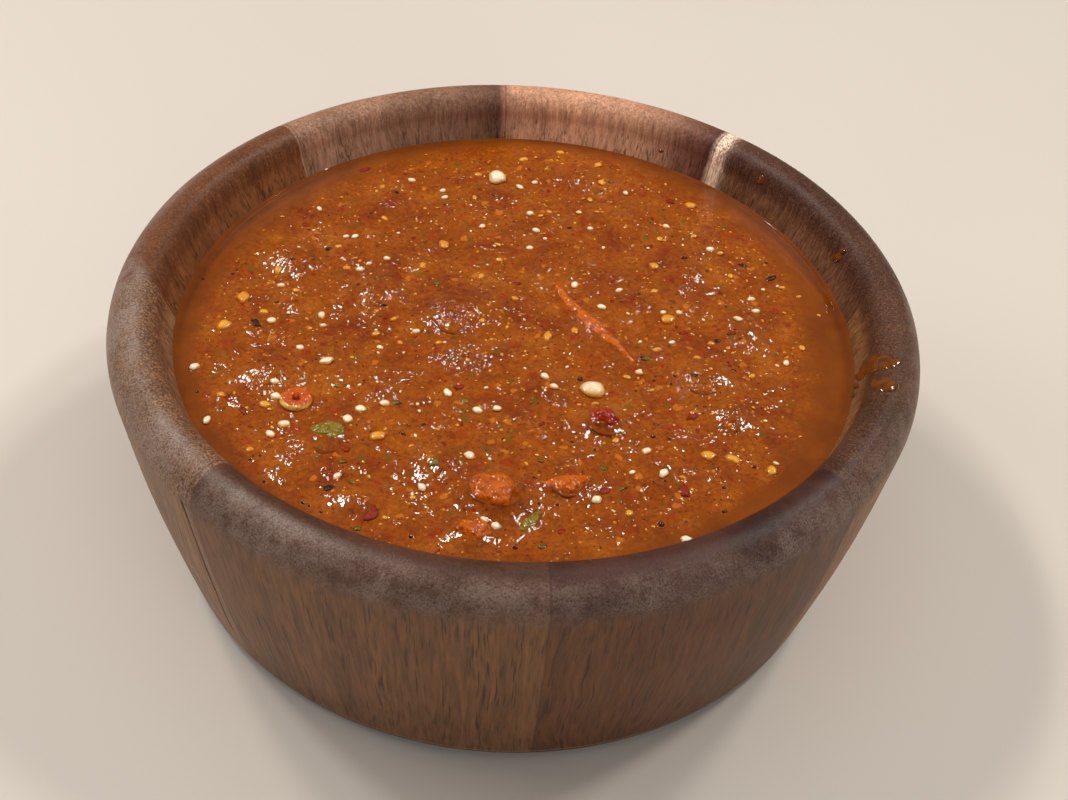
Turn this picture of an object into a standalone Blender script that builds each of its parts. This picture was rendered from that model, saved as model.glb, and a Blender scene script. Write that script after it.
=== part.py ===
"""Chipotle salsa in a turned wooden bowl.

A thick-walled bowl with a rounded rim holds salsa up to 10 mm below its crest. The salsa
is pulp with low mounds in a smooth band of liquid, with seeds and flakes bedded in it and
eight larger pieces of chilli, pepper and tomato lying half sunk in pockets of their own.
Metres, +Z up, origin on the ground under the middle of the bowl.
"""
import math
import random

import bmesh
import bpy
from mathutils import Matrix, Vector, noise
from mathutils.geometry import delaunay_2d_cdt

MM = 0.001
SEGMENTS = 64
GAP = 0.32 * MM
SHARP_ANGLE = math.radians(40)

# Bowl
RIM_RADIUS = 76.0 * MM
HEIGHT = 55.2 * MM
CREST_RADIUS = 70.4 * MM
LIP_DROP_OUTSIDE = 6.2 * MM
LIP_DROP_INSIDE = 5.0 * MM
MOUTH_RADIUS = 66.4 * MM
BASE_RADIUS = 68.3 * MM
BASE_CHAMFER = 3.0 * MM
WALL_STEPS = 4
WALL_BULGE = 0.8 * MM
FOOT_RADIUS = 61.0 * MM
FOOT_HEIGHT = 0.8 * MM
FLOOR_THICKNESS = 10.0 * MM
FLOOR_RADIUS = 40.0 * MM
HOLLOW_ARC_HEIGHT = 29.0 * MM
HOLLOW_ARC_RADIUS = 61.4 * MM

# Salsa
LEVEL = 45.2 * MM
LEVEL_RADIUS = 64.6 * MM
GRID = 3.4 * MM
SWELL = 0.55 * MM
SWELL_LENGTH = 13.0 * MM
RIPPLE = 0.3 * MM
RIPPLE_LENGTH = 6.0 * MM
MARGIN_RISE = 9.0 * MM
MOUND_FADE = 6.0 * MM
MOUND_REACH = 8.0
# Width of the smooth liquid band, in mm, at every 45 degrees from +X
MARGIN_WIDTHS = (12.5, 7.0, 1.5, 9.0, 6.0, 2.5, 4.0, 8.0)
# Mounds of pulp, in mm: x, y, width along x, width along y, height
MOUNDS = (
    (-11.4, 2.5, 12.0, 13.0, 2.6),
    (-9.0, -9.5, 11.0, 8.0, 1.9),
    (-28.0, 5.5, 10.0, 10.0, 1.9),
    (36.5, -12.5, 10.0, 8.0, 2.0),
    (41.0, -22.0, 7.0, 9.0, 1.4),
    (-44.0, -19.5, 10.0, 8.0, 1.8),
    (-34.0, -38.5, 10.0, 8.0, 1.3),
    (-11.0, -40.0, 9.0, 8.0, 1.6),
    (-1.5, -46.0, 12.0, 10.0, 1.5),
    (17.0, -27.0, 9.0, 8.0, 1.3),
    (-24.0, -49.5, 9.0, 6.0, 1.1),
    (-30.0, 36.0, 8.0, 8.0, 1.1),
    (13.0, 50.0, 11.0, 8.0, 1.2),
    (35.0, 20.0, 10.0, 9.0, 1.3),
    (42.0, 4.0, 9.0, 9.0, 1.3),
    (-47.0, 16.0, 9.0, 8.0, 1.1),
)

# Seeds and flakes, in mm: x, y, length
LARGE_SEEDS = (
    (15.1, -18.1, 4.9), (-7.2, 48.8, 4.4), (-53.2, 1.5, 4.2), (-55.3, -7.0, 3.4),
    (29.3, 4.1, 3.2), (39.9, -33.5, 3.1), (31.1, -41.8, 3.1), (-21.0, -52.2, 3.1),
    (-22.5, -34.0, 3.0), (35.5, -32.8, 2.8), (-16.4, 23.5, 2.7), (6.0, -3.8, 2.7),
    (-34.5, -15.2, 2.6), (35.0, 43.6, 2.6), (-49.4, -5.7, 2.5), (-48.2, 10.7, 2.4),
    (33.3, -22.7, 2.4), (-43.5, -27.8, 2.3), (26.8, 21.1, 2.3), (46.6, -35.3, 2.3),
    (14.8, 56.6, 2.2), (-26.4, -27.2, 2.2), (30.5, 45.0, 2.2), (-28.3, -30.2, 2.1),
    (27.6, -38.1, 2.1), (-6.1, -37.4, 2.1), (-5.6, -25.4, 2.1), (-11.4, -21.6, 2.1),
    (10.8, 13.0, 2.1), (-58.0, -19.2, 2.0), (42.7, 4.2, 2.0), (-47.0, -29.7, 2.0),
    (-52.7, -32.9, 2.0), (16.1, -45.3, 2.0), (31.1, -52.9, 2.0), (-41.1, -35.2, 2.0),
)
SEED_WIDTH = 0.78
SEED_THICKNESS = 0.42
SEED_RISE = 0.06
SMALL_SEED_COUNT = 40
SMALL_SEED_LENGTHS = (1.6 * MM, 2.0 * MM)
SMALL_SEED_SPACING = 5.5 * MM
SMALL_SEED_REACH = 55.0 * MM
SEED_TURN = 2.4
RANDOM_SEED = 11

# Larger pieces, in mm: x, y, length, width, thickness, turn in degrees, rise of the middle
CHUNKS = {
    "tomato_chunk_1": (-1.4, -46.9, 8.6, 7.4, 4.4, 20, 0.7),
    "tomato_chunk_2": (-4.3, -54.8, 6.2, 4.8, 3.2, -10, 0.4),
    "tomatillo_piece": (-31.3, -34.2, 5.6, 4.8, 2.4, 15, 0.25),
    "red_pepper_piece": (17.1, -26.5, 5.2, 4.0, 2.6, -15, 0.4),
}
CHUNK_ROUGHNESS = 0.26
CHUNK_BUMPS = 1.6
CHUNK_SIDES = 10
CHUNK_RINGS = 7
# Slender pieces, in mm: path as x, y, width; then thickness and rise of the middle
STRIPS = {
    "chilli_strip": (((6.7, 13.2, 0.9), (9.6, 7.6, 2.2), (12.6, 3.7, 2.8), (15.9, -0.3, 2.9),
                      (19.3, -4.5, 1.7), (22.6, -9.3, 0.6)), 1.1, 0.12),
    "pepper_piece": (((6.9, -42.9, 0.8), (8.6, -42.9, 3.1), (11.0, -42.5, 4.0),
                      (13.2, -41.7, 2.9), (14.9, -40.8, 0.7)), 2.4, 0.4),
    "pepper_skin": (((3.7, -53.4, 0.9), (4.5, -52.2, 2.0), (5.5, -50.7, 2.2),
                     (6.6, -49.0, 0.8)), 1.1, 0.15),
}
STRIP_RINGS = 12
STRIP_SIDES = 8
STRIP_END_FULLNESS = 0.45
RING_PLACE = (-38.1, -26.3)
RING_RADIUS = 1.85 * MM
RING_THICKNESS = 1.5 * MM
RING_STRETCH = 1.05
RING_TURNS = 14
RING_SIDES = 7
RING_RISE = 0.3 * MM

COLOURS = {
    "bowl": (0.16, 0.075, 0.04),
    "salsa": (0.34, 0.105, 0.014),
    "tomato_chunk_1": (0.5, 0.1, 0.02),
    "tomato_chunk_2": (0.55, 0.13, 0.02),
    "tomatillo_piece": (0.25, 0.17, 0.03),
    "red_pepper_piece": (0.36, 0.02, 0.01),
    "chilli_strip": (0.55, 0.1, 0.015),
    "pepper_piece": (0.6, 0.16, 0.02),
    "pepper_skin": (0.3, 0.15, 0.02),
    "chilli_ring": (0.65, 0.16, 0.02),
}


def clear_scene():
    """Remove every object that the scene starts with."""
    for obj in list(bpy.data.objects):
        bpy.data.objects.remove(obj, do_unlink=True)


def make_material(name, roughness):
    """Principled material in the named part's colour."""
    material = bpy.data.materials.new(name)
    material.use_nodes = True
    shader = material.node_tree.nodes["Principled BSDF"]
    shader.inputs["Base Color"].default_value = (*COLOURS[name], 1.0)
    shader.inputs["Roughness"].default_value = roughness
    shader.inputs["Metallic"].default_value = 0.0
    return material


def add_object(name, mesh, collection=None):
    """Link a mesh to the scene, or to a collection, as an object."""
    obj = bpy.data.objects.new(name, mesh)
    (collection or bpy.context.scene.collection).objects.link(obj)
    return obj


def mesh_from_bmesh(name, bm):
    """Turn a bmesh with consistent outward faces into a mesh."""
    bmesh.ops.recalc_face_normals(bm, faces=bm.faces)
    mesh = bpy.data.meshes.new(name)
    bm.to_mesh(mesh)
    bm.free()
    return mesh


def finish(obj, roughness):
    """Give a sub-part its material and smooth shading with crisp edges kept."""
    obj.data.materials.clear()
    obj.data.materials.append(make_material(obj.name, roughness))
    obj.data.shade_smooth()
    obj.data.set_sharp_from_angle(angle=SHARP_ANGLE)


def smooth_step(low, high, value):
    """Ease from 0 at low to 1 at high."""
    t = min(max((value - low) / (high - low), 0.0), 1.0)
    return t * t * (3.0 - 2.0 * t)


def arc(centre, size, start, end, steps):
    """Points of an elliptical arc between two angles in degrees, both ends included."""
    points = []
    for i in range(steps + 1):
        angle = math.radians(start + (end - start) * i / steps)
        points.append((centre[0] + size[0] * math.cos(angle), centre[1] + size[1] * math.sin(angle)))
    return points


def hollow_outline(inset):
    """Outline of the hollow from the liquid line to the middle of its floor, drawn in by inset."""
    size = (HOLLOW_ARC_RADIUS - FLOOR_RADIUS - inset, HOLLOW_ARC_HEIGHT - FLOOR_THICKNESS - inset)
    curve = arc((FLOOR_RADIUS, HOLLOW_ARC_HEIGHT), size, 0, -90, 4)
    return [(LEVEL_RADIUS - inset, LEVEL), *curve, (0.0, FLOOR_THICKNESS + inset)]


def bowl_outline():
    """Half section of the bowl: up the inside, over the rim, down the outside, under the foot."""
    points = hollow_outline(0.0)[::-1]
    inside = (CREST_RADIUS - MOUTH_RADIUS, LIP_DROP_INSIDE)
    points += arc((CREST_RADIUS, HEIGHT - LIP_DROP_INSIDE), inside, 180, 90, 4)
    outside = (RIM_RADIUS - CREST_RADIUS, LIP_DROP_OUTSIDE)
    points += arc((CREST_RADIUS, HEIGHT - LIP_DROP_OUTSIDE), outside, 90, 0, 5)[1:]
    shoulder = HEIGHT - LIP_DROP_OUTSIDE
    for step in range(1, WALL_STEPS + 1):
        t = step / WALL_STEPS
        bulge = WALL_BULGE * math.sin(math.pi * t)
        radius = RIM_RADIUS + (BASE_RADIUS - RIM_RADIUS) * t + bulge
        points.append((radius, shoulder + (BASE_CHAMFER - shoulder) * t))
    points.append((BASE_RADIUS - 0.25 * BASE_CHAMFER, 0.55 * BASE_CHAMFER))
    points.append((BASE_RADIUS - 0.7 * BASE_CHAMFER, 0.33 * BASE_CHAMFER))
    points.append((FOOT_RADIUS + FOOT_HEIGHT, FOOT_HEIGHT))
    points.append((FOOT_RADIUS, 0.0))
    points.append((0.0, 0.0))
    return points


def make_bowl():
    """Turn the bowl's half section once round with a Screw modifier."""
    mesh = bpy.data.meshes.new("bowl")
    points = bowl_outline()
    edges = [(i, i + 1) for i in range(len(points) - 1)]
    mesh.from_pydata([(r, 0.0, z) for r, z in points], edges, [])
    bowl = add_object("bowl", mesh)
    screw = bowl.modifiers.new("turn", "SCREW")
    screw.axis = "Z"
    screw.angle = math.tau
    screw.screw_offset = 0.0
    screw.steps = SEGMENTS
    screw.render_steps = SEGMENTS
    screw.use_merge_vertices = True
    screw.merge_threshold = 0.00001
    apply_modifiers(bowl)
    finish(bowl, 0.42)
    return bowl


def margin_width(angle):
    """Width of the smooth liquid band at an angle, eased between the listed ones."""
    turn = (angle / math.tau) % 1.0 * len(MARGIN_WIDTHS)
    first = int(turn) % len(MARGIN_WIDTHS)
    second = (first + 1) % len(MARGIN_WIDTHS)
    t = smooth_step(0.0, 1.0, turn - int(turn))
    return ((1.0 - t) * MARGIN_WIDTHS[first] + t * MARGIN_WIDTHS[second]) * MM


def surface_height(x, y):
    """Height of the salsa's surface: level at the wall, rising into swells and mounds of pulp."""
    from_wall = LEVEL_RADIUS - math.hypot(x, y)
    margin = margin_width(math.atan2(y, x))
    calm = smooth_step(0.4 * margin, margin + MARGIN_RISE, from_wall)
    rise = SWELL * noise.noise(Vector((x / SWELL_LENGTH, y / SWELL_LENGTH, 3.0)))
    rise += RIPPLE * noise.noise(Vector((x / RIPPLE_LENGTH, y / RIPPLE_LENGTH, 8.0)))
    mounds = 0.0
    for mx, my, wide, deep, high in MOUNDS:
        reach = ((x / MM - mx) / (0.5 * wide)) ** 2 + ((y / MM - my) / (0.5 * deep)) ** 2
        if reach < MOUND_REACH:
            mounds = max(mounds, high * MM * math.exp(-reach))
    return LEVEL + calm * rise + smooth_step(0.0, MOUND_FADE, from_wall) * mounds


def salsa_body():
    """Closed body of the salsa, without its seeds and pockets."""
    outline = hollow_outline(GAP)
    edge_radius = outline[0][0]
    flat = []
    for i in range(SEGMENTS):
        angle = math.tau * i / SEGMENTS
        flat.append(Vector((edge_radius * math.cos(angle), edge_radius * math.sin(angle))))
    row_step = GRID * math.sqrt(3.0) / 2.0
    rows = int(edge_radius / row_step)
    for row in range(-rows, rows + 1):
        shift = GRID / 2.0 if row % 2 else 0.0
        for column in range(-rows - 1, rows + 2):
            point = Vector((column * GRID + shift, row * row_step))
            if point.length < edge_radius - 0.6 * GRID:
                flat.append(point)
    rim_edges = [(i, (i + 1) % SEGMENTS) for i in range(SEGMENTS)]
    points, _, faces, *_ = delaunay_2d_cdt(flat, rim_edges, [], 1, 1e-7)
    bm = bmesh.new()
    top = [bm.verts.new((p.x, p.y, surface_height(p.x, p.y))) for p in points]
    for face in faces:
        bm.faces.new([top[i] for i in face])
    rim = [v for v in top if v.is_boundary]
    rim.sort(key=lambda v: math.atan2(v.co.y, v.co.x))
    above = rim
    for v in rim:
        v.co.z = LEVEL
    for radius, z in outline[1:-1]:
        scale = radius / edge_radius
        below = [bm.verts.new((v.co.x * scale, v.co.y * scale, z)) for v in rim]
        for i in range(SEGMENTS):
            j = (i + 1) % SEGMENTS
            bm.faces.new((above[i], below[i], below[j], above[j]))
        above = below
    centre = bm.verts.new((0.0, 0.0, outline[-1][1]))
    for i in range(SEGMENTS):
        bm.faces.new((above[i], centre, above[(i + 1) % SEGMENTS]))
    return mesh_from_bmesh("salsa", bm)


def chunk_mesh(name, grow):
    """Rounded, uneven lump lying in the surface, grown by the clearance all round."""
    x, y, length, width, thickness, turn, rise = CHUNKS[name]
    bm = bmesh.new()
    bmesh.ops.create_uvsphere(bm, u_segments=CHUNK_SIDES, v_segments=CHUNK_RINGS, radius=1.0)
    place = Vector((x * MM, y * MM, surface_height(x * MM, y * MM) + rise * MM))
    half = Vector((length, width, thickness)) * 0.5 * MM + Vector((grow, grow, grow))
    spin = Matrix.Rotation(math.radians(turn), 3, "Z")
    for v in bm.verts:
        bumps = noise.noise(v.co * CHUNK_BUMPS + Vector((x, y, 0.0)))
        shape = v.co * (1.0 + CHUNK_ROUGHNESS * bumps)
        v.co = place + spin @ Vector((shape.x * half.x, shape.y * half.y, shape.z * half.z))
    return mesh_from_bmesh(name, bm)


def path_point(path, t):
    """Point and width at t from 0 to 1 on a smooth curve through the path's points."""
    spans = len(path) - 1
    index = min(int(t * spans), spans - 1)
    u = t * spans - index
    before = Vector(path[max(index - 1, 0)])
    start = Vector(path[index])
    end = Vector(path[index + 1])
    after = Vector(path[min(index + 2, spans)])
    bend = 2.0 * before - 5.0 * start + 4.0 * end - after
    twist = 3.0 * (start - end) + after - before
    return start + 0.5 * u * (end - before + u * (bend + u * twist))


def strip_mesh(name, grow):
    """Tapered strip that follows its path over the surface, grown by the clearance."""
    path, thickness, rise = STRIPS[name]
    bm = bmesh.new()
    rings = []
    widest = max(row[2] for row in path)
    for i in range(STRIP_RINGS):
        t = i / (STRIP_RINGS - 1)
        point = path_point(path, t)
        ahead = path_point(path, min(t + 0.01, 1.0)) - path_point(path, max(t - 0.01, 0.0))
        along = Vector((ahead.x, ahead.y, 0.0)).normalized()
        side = Vector((-along.y, along.x, 0.0))
        reach = grow * (2.0 * t - 1.0) if i in (0, STRIP_RINGS - 1) else 0.0
        x = point.x * MM + along.x * reach
        y = point.y * MM + along.y * reach
        half_width = 0.5 * point.z * MM + grow
        fullness = STRIP_END_FULLNESS + (1.0 - STRIP_END_FULLNESS) * point.z / widest
        half_height = 0.5 * thickness * fullness * MM + grow
        middle = Vector((x, y, surface_height(x, y) + rise * MM))
        ring = []
        for k in range(STRIP_SIDES):
            angle = math.tau * (k + 0.5) / STRIP_SIDES
            offset = side * half_width * math.cos(angle) + Vector((0, 0, half_height * math.sin(angle)))
            ring.append(bm.verts.new(middle + offset))
        rings.append(ring)
    for first, second in zip(rings, rings[1:]):
        for k in range(STRIP_SIDES):
            j = (k + 1) % STRIP_SIDES
            bm.faces.new((first[k], second[k], second[j], first[j]))
    bm.faces.new(rings[0])
    bm.faces.new(rings[-1][::-1])
    return mesh_from_bmesh(name, bm)


def ring_mesh(grow):
    """Slice of chilli: an oval ring lying in the surface, grown by the clearance."""
    bm = bmesh.new()
    x, y = (value * MM for value in RING_PLACE)
    z = surface_height(x, y) + RING_RISE
    tube = RING_THICKNESS / 2.0 + grow
    rings = []
    for i in range(RING_TURNS):
        angle = math.tau * i / RING_TURNS
        ring = []
        for k in range(RING_SIDES):
            lean = math.tau * k / RING_SIDES
            radius = RING_RADIUS + tube * math.cos(lean)
            ring.append(bm.verts.new((x + RING_STRETCH * radius * math.cos(angle),
                                      y + radius * math.sin(angle), z + tube * math.sin(lean))))
        rings.append(ring)
    for i in range(RING_TURNS):
        after = rings[(i + 1) % RING_TURNS]
        for k in range(RING_SIDES):
            j = (k + 1) % RING_SIDES
            bm.faces.new((rings[i][k], after[k], after[j], rings[i][j]))
    return mesh_from_bmesh("chilli_ring", bm)


def piece_meshes(grow):
    """Meshes of all larger pieces by name, each grown by the clearance."""
    meshes = {name: chunk_mesh(name, grow) for name in CHUNKS}
    meshes.update({name: strip_mesh(name, grow) for name in STRIPS})
    meshes["chilli_ring"] = ring_mesh(grow)
    return meshes


def clear_of_pieces(x, y, radius):
    """True where a seed of this radius stays clear of every larger piece."""
    for px, py, length, width, _, _, _ in CHUNKS.values():
        if math.hypot(x - px * MM, y - py * MM) < 0.56 * max(length, width) * MM + radius + 2.0 * GAP:
            return False
    for path, _, _ in STRIPS.values():
        for i in range(STRIP_RINGS):
            point = path_point(path, i / (STRIP_RINGS - 1))
            if math.hypot(x - point.x * MM, y - point.y * MM) < 0.5 * point.z * MM + radius + 3.0 * GAP:
                return False
    from_ring = math.hypot(x - RING_PLACE[0] * MM, y - RING_PLACE[1] * MM)
    return from_ring > RING_RADIUS + RING_THICKNESS + radius


def seed_places():
    """Place and length of every seed: the large ones, then small ones spread evenly between."""
    draw = random.Random(RANDOM_SEED)
    seeds = []
    for x, y, length in LARGE_SEEDS:
        if clear_of_pieces(x * MM, y * MM, 0.5 * length * MM):
            seeds.append((x * MM, y * MM, length * MM))
    wanted = len(seeds) + SMALL_SEED_COUNT
    while len(seeds) < wanted:
        radius = SMALL_SEED_REACH * math.sqrt(draw.random())
        angle = math.tau * draw.random()
        length = draw.uniform(*SMALL_SEED_LENGTHS)
        x = radius * math.cos(angle)
        y = radius * math.sin(angle)
        apart = all(math.hypot(x - sx, y - sy) > SMALL_SEED_SPACING for sx, sy, _ in seeds)
        if apart and clear_of_pieces(x, y, 0.5 * length):
            seeds.append((x, y, length))
    return seeds


def seed_mesh(index, x, y, length):
    """Flat oval seed bedded in the surface, turned by its own number."""
    bm = bmesh.new()
    bmesh.ops.create_uvsphere(bm, u_segments=6, v_segments=4, radius=0.5 * length)
    bmesh.ops.scale(bm, vec=(1.0, SEED_WIDTH, SEED_THICKNESS), verts=bm.verts)
    turn = Matrix.Rotation(index * SEED_TURN, 3, "Z")
    bmesh.ops.rotate(bm, cent=(0.0, 0.0, 0.0), matrix=turn, verts=bm.verts)
    bmesh.ops.translate(bm, vec=(x, y, surface_height(x, y) + SEED_RISE * length), verts=bm.verts)
    return mesh_from_bmesh(f"seed_{index}", bm)


def apply_modifiers(obj):
    """Replace an object's mesh by its evaluated one and drop its modifiers."""
    graph = bpy.context.evaluated_depsgraph_get()
    mesh = bpy.data.meshes.new_from_object(obj.evaluated_get(graph))
    obj.modifiers.clear()
    obj.data = mesh


def combine(obj, operation, meshes):
    """Join meshes to an object, or cut them from it, by one Boolean on a collection."""
    tools = bpy.data.collections.new("tools")
    bpy.context.scene.collection.children.link(tools)
    for mesh in meshes:
        tool = add_object(mesh.name, mesh, tools)
        tool.hide_render = True
        tool.display_type = "WIRE"
    boolean = obj.modifiers.new(operation.lower(), "BOOLEAN")
    boolean.operation = operation
    boolean.operand_type = "COLLECTION"
    boolean.collection = tools
    boolean.solver = "EXACT"
    apply_modifiers(obj)
    for tool in list(tools.objects):
        bpy.data.objects.remove(tool, do_unlink=True)
    bpy.data.collections.remove(tools)


def make_salsa():
    """Salsa body with a pocket round each larger piece and its seeds joined on."""
    salsa = add_object("salsa", salsa_body())
    combine(salsa, "DIFFERENCE", list(piece_meshes(GAP).values()))
    combine(salsa, "UNION", [seed_mesh(i, *seed) for i, seed in enumerate(seed_places())])
    finish(salsa, 0.3)
    return salsa


def make_pieces():
    """The larger pieces, each an object of its own in its pocket."""
    for name, mesh in piece_meshes(0.0).items():
        finish(add_object(name, mesh), 0.3)


clear_scene()
make_bowl()
make_salsa()
make_pieces()
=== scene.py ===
"""Looks of the chipotle salsa in its wooden bowl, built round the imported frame."""
import math
import random

import bmesh
import bpy
from mathutils import Matrix, Vector, noise


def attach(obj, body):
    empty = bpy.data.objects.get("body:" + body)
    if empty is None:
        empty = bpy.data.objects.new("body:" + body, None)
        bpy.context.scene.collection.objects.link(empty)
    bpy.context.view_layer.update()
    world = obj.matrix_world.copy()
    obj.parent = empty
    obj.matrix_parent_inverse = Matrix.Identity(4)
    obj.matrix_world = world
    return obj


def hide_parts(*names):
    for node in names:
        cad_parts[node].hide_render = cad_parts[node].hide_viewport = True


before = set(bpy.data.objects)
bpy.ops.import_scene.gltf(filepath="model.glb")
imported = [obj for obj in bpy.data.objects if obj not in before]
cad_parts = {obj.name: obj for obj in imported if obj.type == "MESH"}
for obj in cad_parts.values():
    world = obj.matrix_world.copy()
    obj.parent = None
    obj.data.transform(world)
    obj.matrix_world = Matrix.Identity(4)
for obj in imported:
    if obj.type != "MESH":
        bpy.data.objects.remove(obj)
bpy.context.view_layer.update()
MM = 0.001

# Camera of the photograph
PHOTO_WIDTH = 1068
PHOTO_HEIGHT = 800
FOCAL_PIXELS = 1400.0
SENSOR_WIDTH = 36.0
CAMERA_TARGET = Vector((4.338, 0.0, 25.343)) * MM
CAMERA_DISTANCE = 283.56 * MM
CAMERA_ELEVATION = math.radians(42.754)
CAMERA_ROLL = math.radians(4.109)

# Bowl, as in the solids
RIM_RADIUS = 76.0 * MM
HEIGHT = 55.2 * MM
CREST_RADIUS = 70.4 * MM
LIP_DROP_OUTSIDE = 6.2 * MM
LIP_DROP_INSIDE = 5.0 * MM
MOUTH_RADIUS = 66.4 * MM
BASE_RADIUS = 68.3 * MM
BASE_CHAMFER = 3.0 * MM
WALL_BULGE = 0.8 * MM
FOOT_RADIUS = 61.0 * MM
FOOT_HEIGHT = 0.8 * MM
FLOOR_THICKNESS = 10.0 * MM
FLOOR_RADIUS = 40.0 * MM
HOLLOW_ARC_HEIGHT = 29.0 * MM
HOLLOW_ARC_RADIUS = 61.4 * MM
BOWL_SEGMENTS = 360
CRACK_ANGLE = math.radians(-132.4)
CRACK_TOP = 50.0 * MM
CRACK_BOTTOM = 9.0 * MM
CRACK_DEPTH = 0.6 * MM
CRACK_HALF_WIDTH = 0.17 * MM
# Glue seams between the staves, in degrees from +X
SEAMS = (-175.5, -131.5, -83.0, -40.0, 5.0, 53.8, 95.7, 137.3)

# Salsa, as in the solids
LEVEL = 45.2 * MM
LEVEL_RADIUS = 64.6 * MM
SWELL = 0.55 * MM
SWELL_LENGTH = 13.0 * MM
RIPPLE = 0.3 * MM
RIPPLE_LENGTH = 6.0 * MM
MARGIN_RISE = 9.0 * MM
MOUND_FADE = 6.0 * MM
MOUND_REACH = 8.0
MARGIN_WIDTHS = (12.5, 7.0, 1.5, 9.0, 6.0, 2.5, 4.0, 8.0)
MOUNDS = (
    (-11.4, 2.5, 12.0, 13.0, 2.6),
    (-9.0, -9.5, 11.0, 8.0, 1.9),
    (-28.0, 5.5, 10.0, 10.0, 1.9),
    (36.5, -12.5, 10.0, 8.0, 2.0),
    (41.0, -22.0, 7.0, 9.0, 1.4),
    (-44.0, -19.5, 10.0, 8.0, 1.8),
    (-34.0, -38.5, 10.0, 8.0, 1.3),
    (-11.0, -40.0, 9.0, 8.0, 1.6),
    (-1.5, -46.0, 12.0, 10.0, 1.5),
    (17.0, -27.0, 9.0, 8.0, 1.3),
    (-24.0, -49.5, 9.0, 6.0, 1.1),
    (-30.0, 36.0, 8.0, 8.0, 1.1),
    (13.0, 50.0, 11.0, 8.0, 1.2),
    (35.0, 20.0, 10.0, 9.0, 1.3),
    (42.0, 4.0, 9.0, 9.0, 1.3),
    (-47.0, 16.0, 9.0, 8.0, 1.1),
)
SURFACE_RINGS = 168
SURFACE_REACH = 65.2 * MM
MENISCUS = 0.4 * MM
MENISCUS_WIDTH = 0.45 * MM
# Sauce that creeps up a piece: its share of the piece's height, and where it starts and how fast it
# falls away in radii of the piece
BANK_SHARE = 0.6
BANK_START = 0.6
BANK_FALL = 0.62
BANK_REACH = 2.4

# Larger pieces, in mm as in the solids
CHUNKS = {
    "tomato_chunk_1": (-1.4, -46.9, 8.6, 7.4, 4.4, 20, 0.7),
    "tomato_chunk_2": (-4.3, -54.8, 6.2, 4.8, 3.2, -10, 0.4),
    "tomatillo_piece": (-31.3, -34.2, 5.6, 4.8, 2.4, 15, 0.25),
    "red_pepper_piece": (17.1, -26.5, 5.2, 4.0, 2.6, -15, 0.4),
}
CHUNK_ROUGHNESS = 0.26
CHUNK_BUMPS = 1.6
CHUNK_DETAIL = 48
STRIPS = {
    "chilli_strip": (((6.7, 13.2, 0.9), (9.6, 7.6, 2.2), (12.6, 3.7, 2.8), (15.9, -0.3, 2.9),
                      (19.3, -4.5, 1.7), (22.6, -9.3, 0.6)), 1.1, 0.12),
    "pepper_piece": (((6.9, -42.9, 0.8), (8.6, -42.9, 3.1), (11.0, -42.5, 4.0),
                      (13.2, -41.7, 2.9), (14.9, -40.8, 0.7)), 2.4, 0.4),
    "pepper_skin": (((3.7, -53.4, 0.9), (4.5, -52.2, 2.0), (5.5, -50.7, 2.2),
                     (6.6, -49.0, 0.8)), 1.1, 0.15),
}
STRIP_END_FULLNESS = 0.45
RING_PLACE = (-38.1, -26.3)
RING_RADIUS = 1.85 * MM
RING_THICKNESS = 1.5 * MM
RING_STRETCH = 1.05
RING_RISE = 0.3 * MM
RING_GRID = (56, 18)
RING_SKIN = Vector((1.2, 1.2, 0.4)) * MM

# Large seeds and flakes, in mm as in the solids, with their kind
LARGE_SEEDS = (
    (15.1, -18.1, 4.9, "pale"), (-7.2, 48.8, 4.4, "pale"), (-53.2, 1.5, 4.2, "orange"),
    (-55.3, -7.0, 3.4, "orange"), (29.3, 4.1, 3.2, "orange"), (39.9, -33.5, 3.1, "orange"),
    (31.1, -41.8, 3.1, "red"), (-21.0, -52.2, 3.1, "red"), (-22.5, -34.0, 3.0, "orange"),
    (35.5, -32.8, 2.8, "orange"), (-16.4, 23.5, 2.7, "orange"), (6.0, -3.8, 2.7, "orange"),
    (-34.5, -15.2, 2.6, "pale"), (35.0, 43.6, 2.6, "orange"), (-49.4, -5.7, 2.5, "char"),
    (-48.2, 10.7, 2.4, "orange"), (33.3, -22.7, 2.4, "red"), (-43.5, -27.8, 2.3, "orange"),
    (26.8, 21.1, 2.3, "orange"), (46.6, -35.3, 2.3, "orange"), (14.8, 56.6, 2.2, "orange"),
    (-26.4, -27.2, 2.2, "pale"), (30.5, 45.0, 2.2, "red"), (-28.3, -30.2, 2.1, "pale"),
    (27.6, -38.1, 2.1, "pale"), (-6.1, -37.4, 2.1, "pale"), (-5.6, -25.4, 2.1, "pale"),
    (-11.4, -21.6, 2.1, "pale"), (10.8, 13.0, 2.1, "pale"), (-58.0, -19.2, 2.0, "pale"),
    (42.7, 4.2, 2.0, "pale"), (-47.0, -29.7, 2.0, "red"), (-52.7, -32.9, 2.0, "pale"),
    (16.1, -45.3, 2.0, "pale"), (31.1, -52.9, 2.0, "pale"), (-41.1, -35.2, 2.0, "pale"),
)
SEED_TURN = 2.4
SMALL_SEED_COUNT = 40
SMALL_SEED_LENGTHS = (1.6 * MM, 2.0 * MM)
SMALL_SEED_SPACING = 5.5 * MM
SMALL_SEED_REACH = 55.0 * MM
RANDOM_SEED = 11
GAP = 0.32 * MM
STRIP_RINGS = 12

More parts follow.
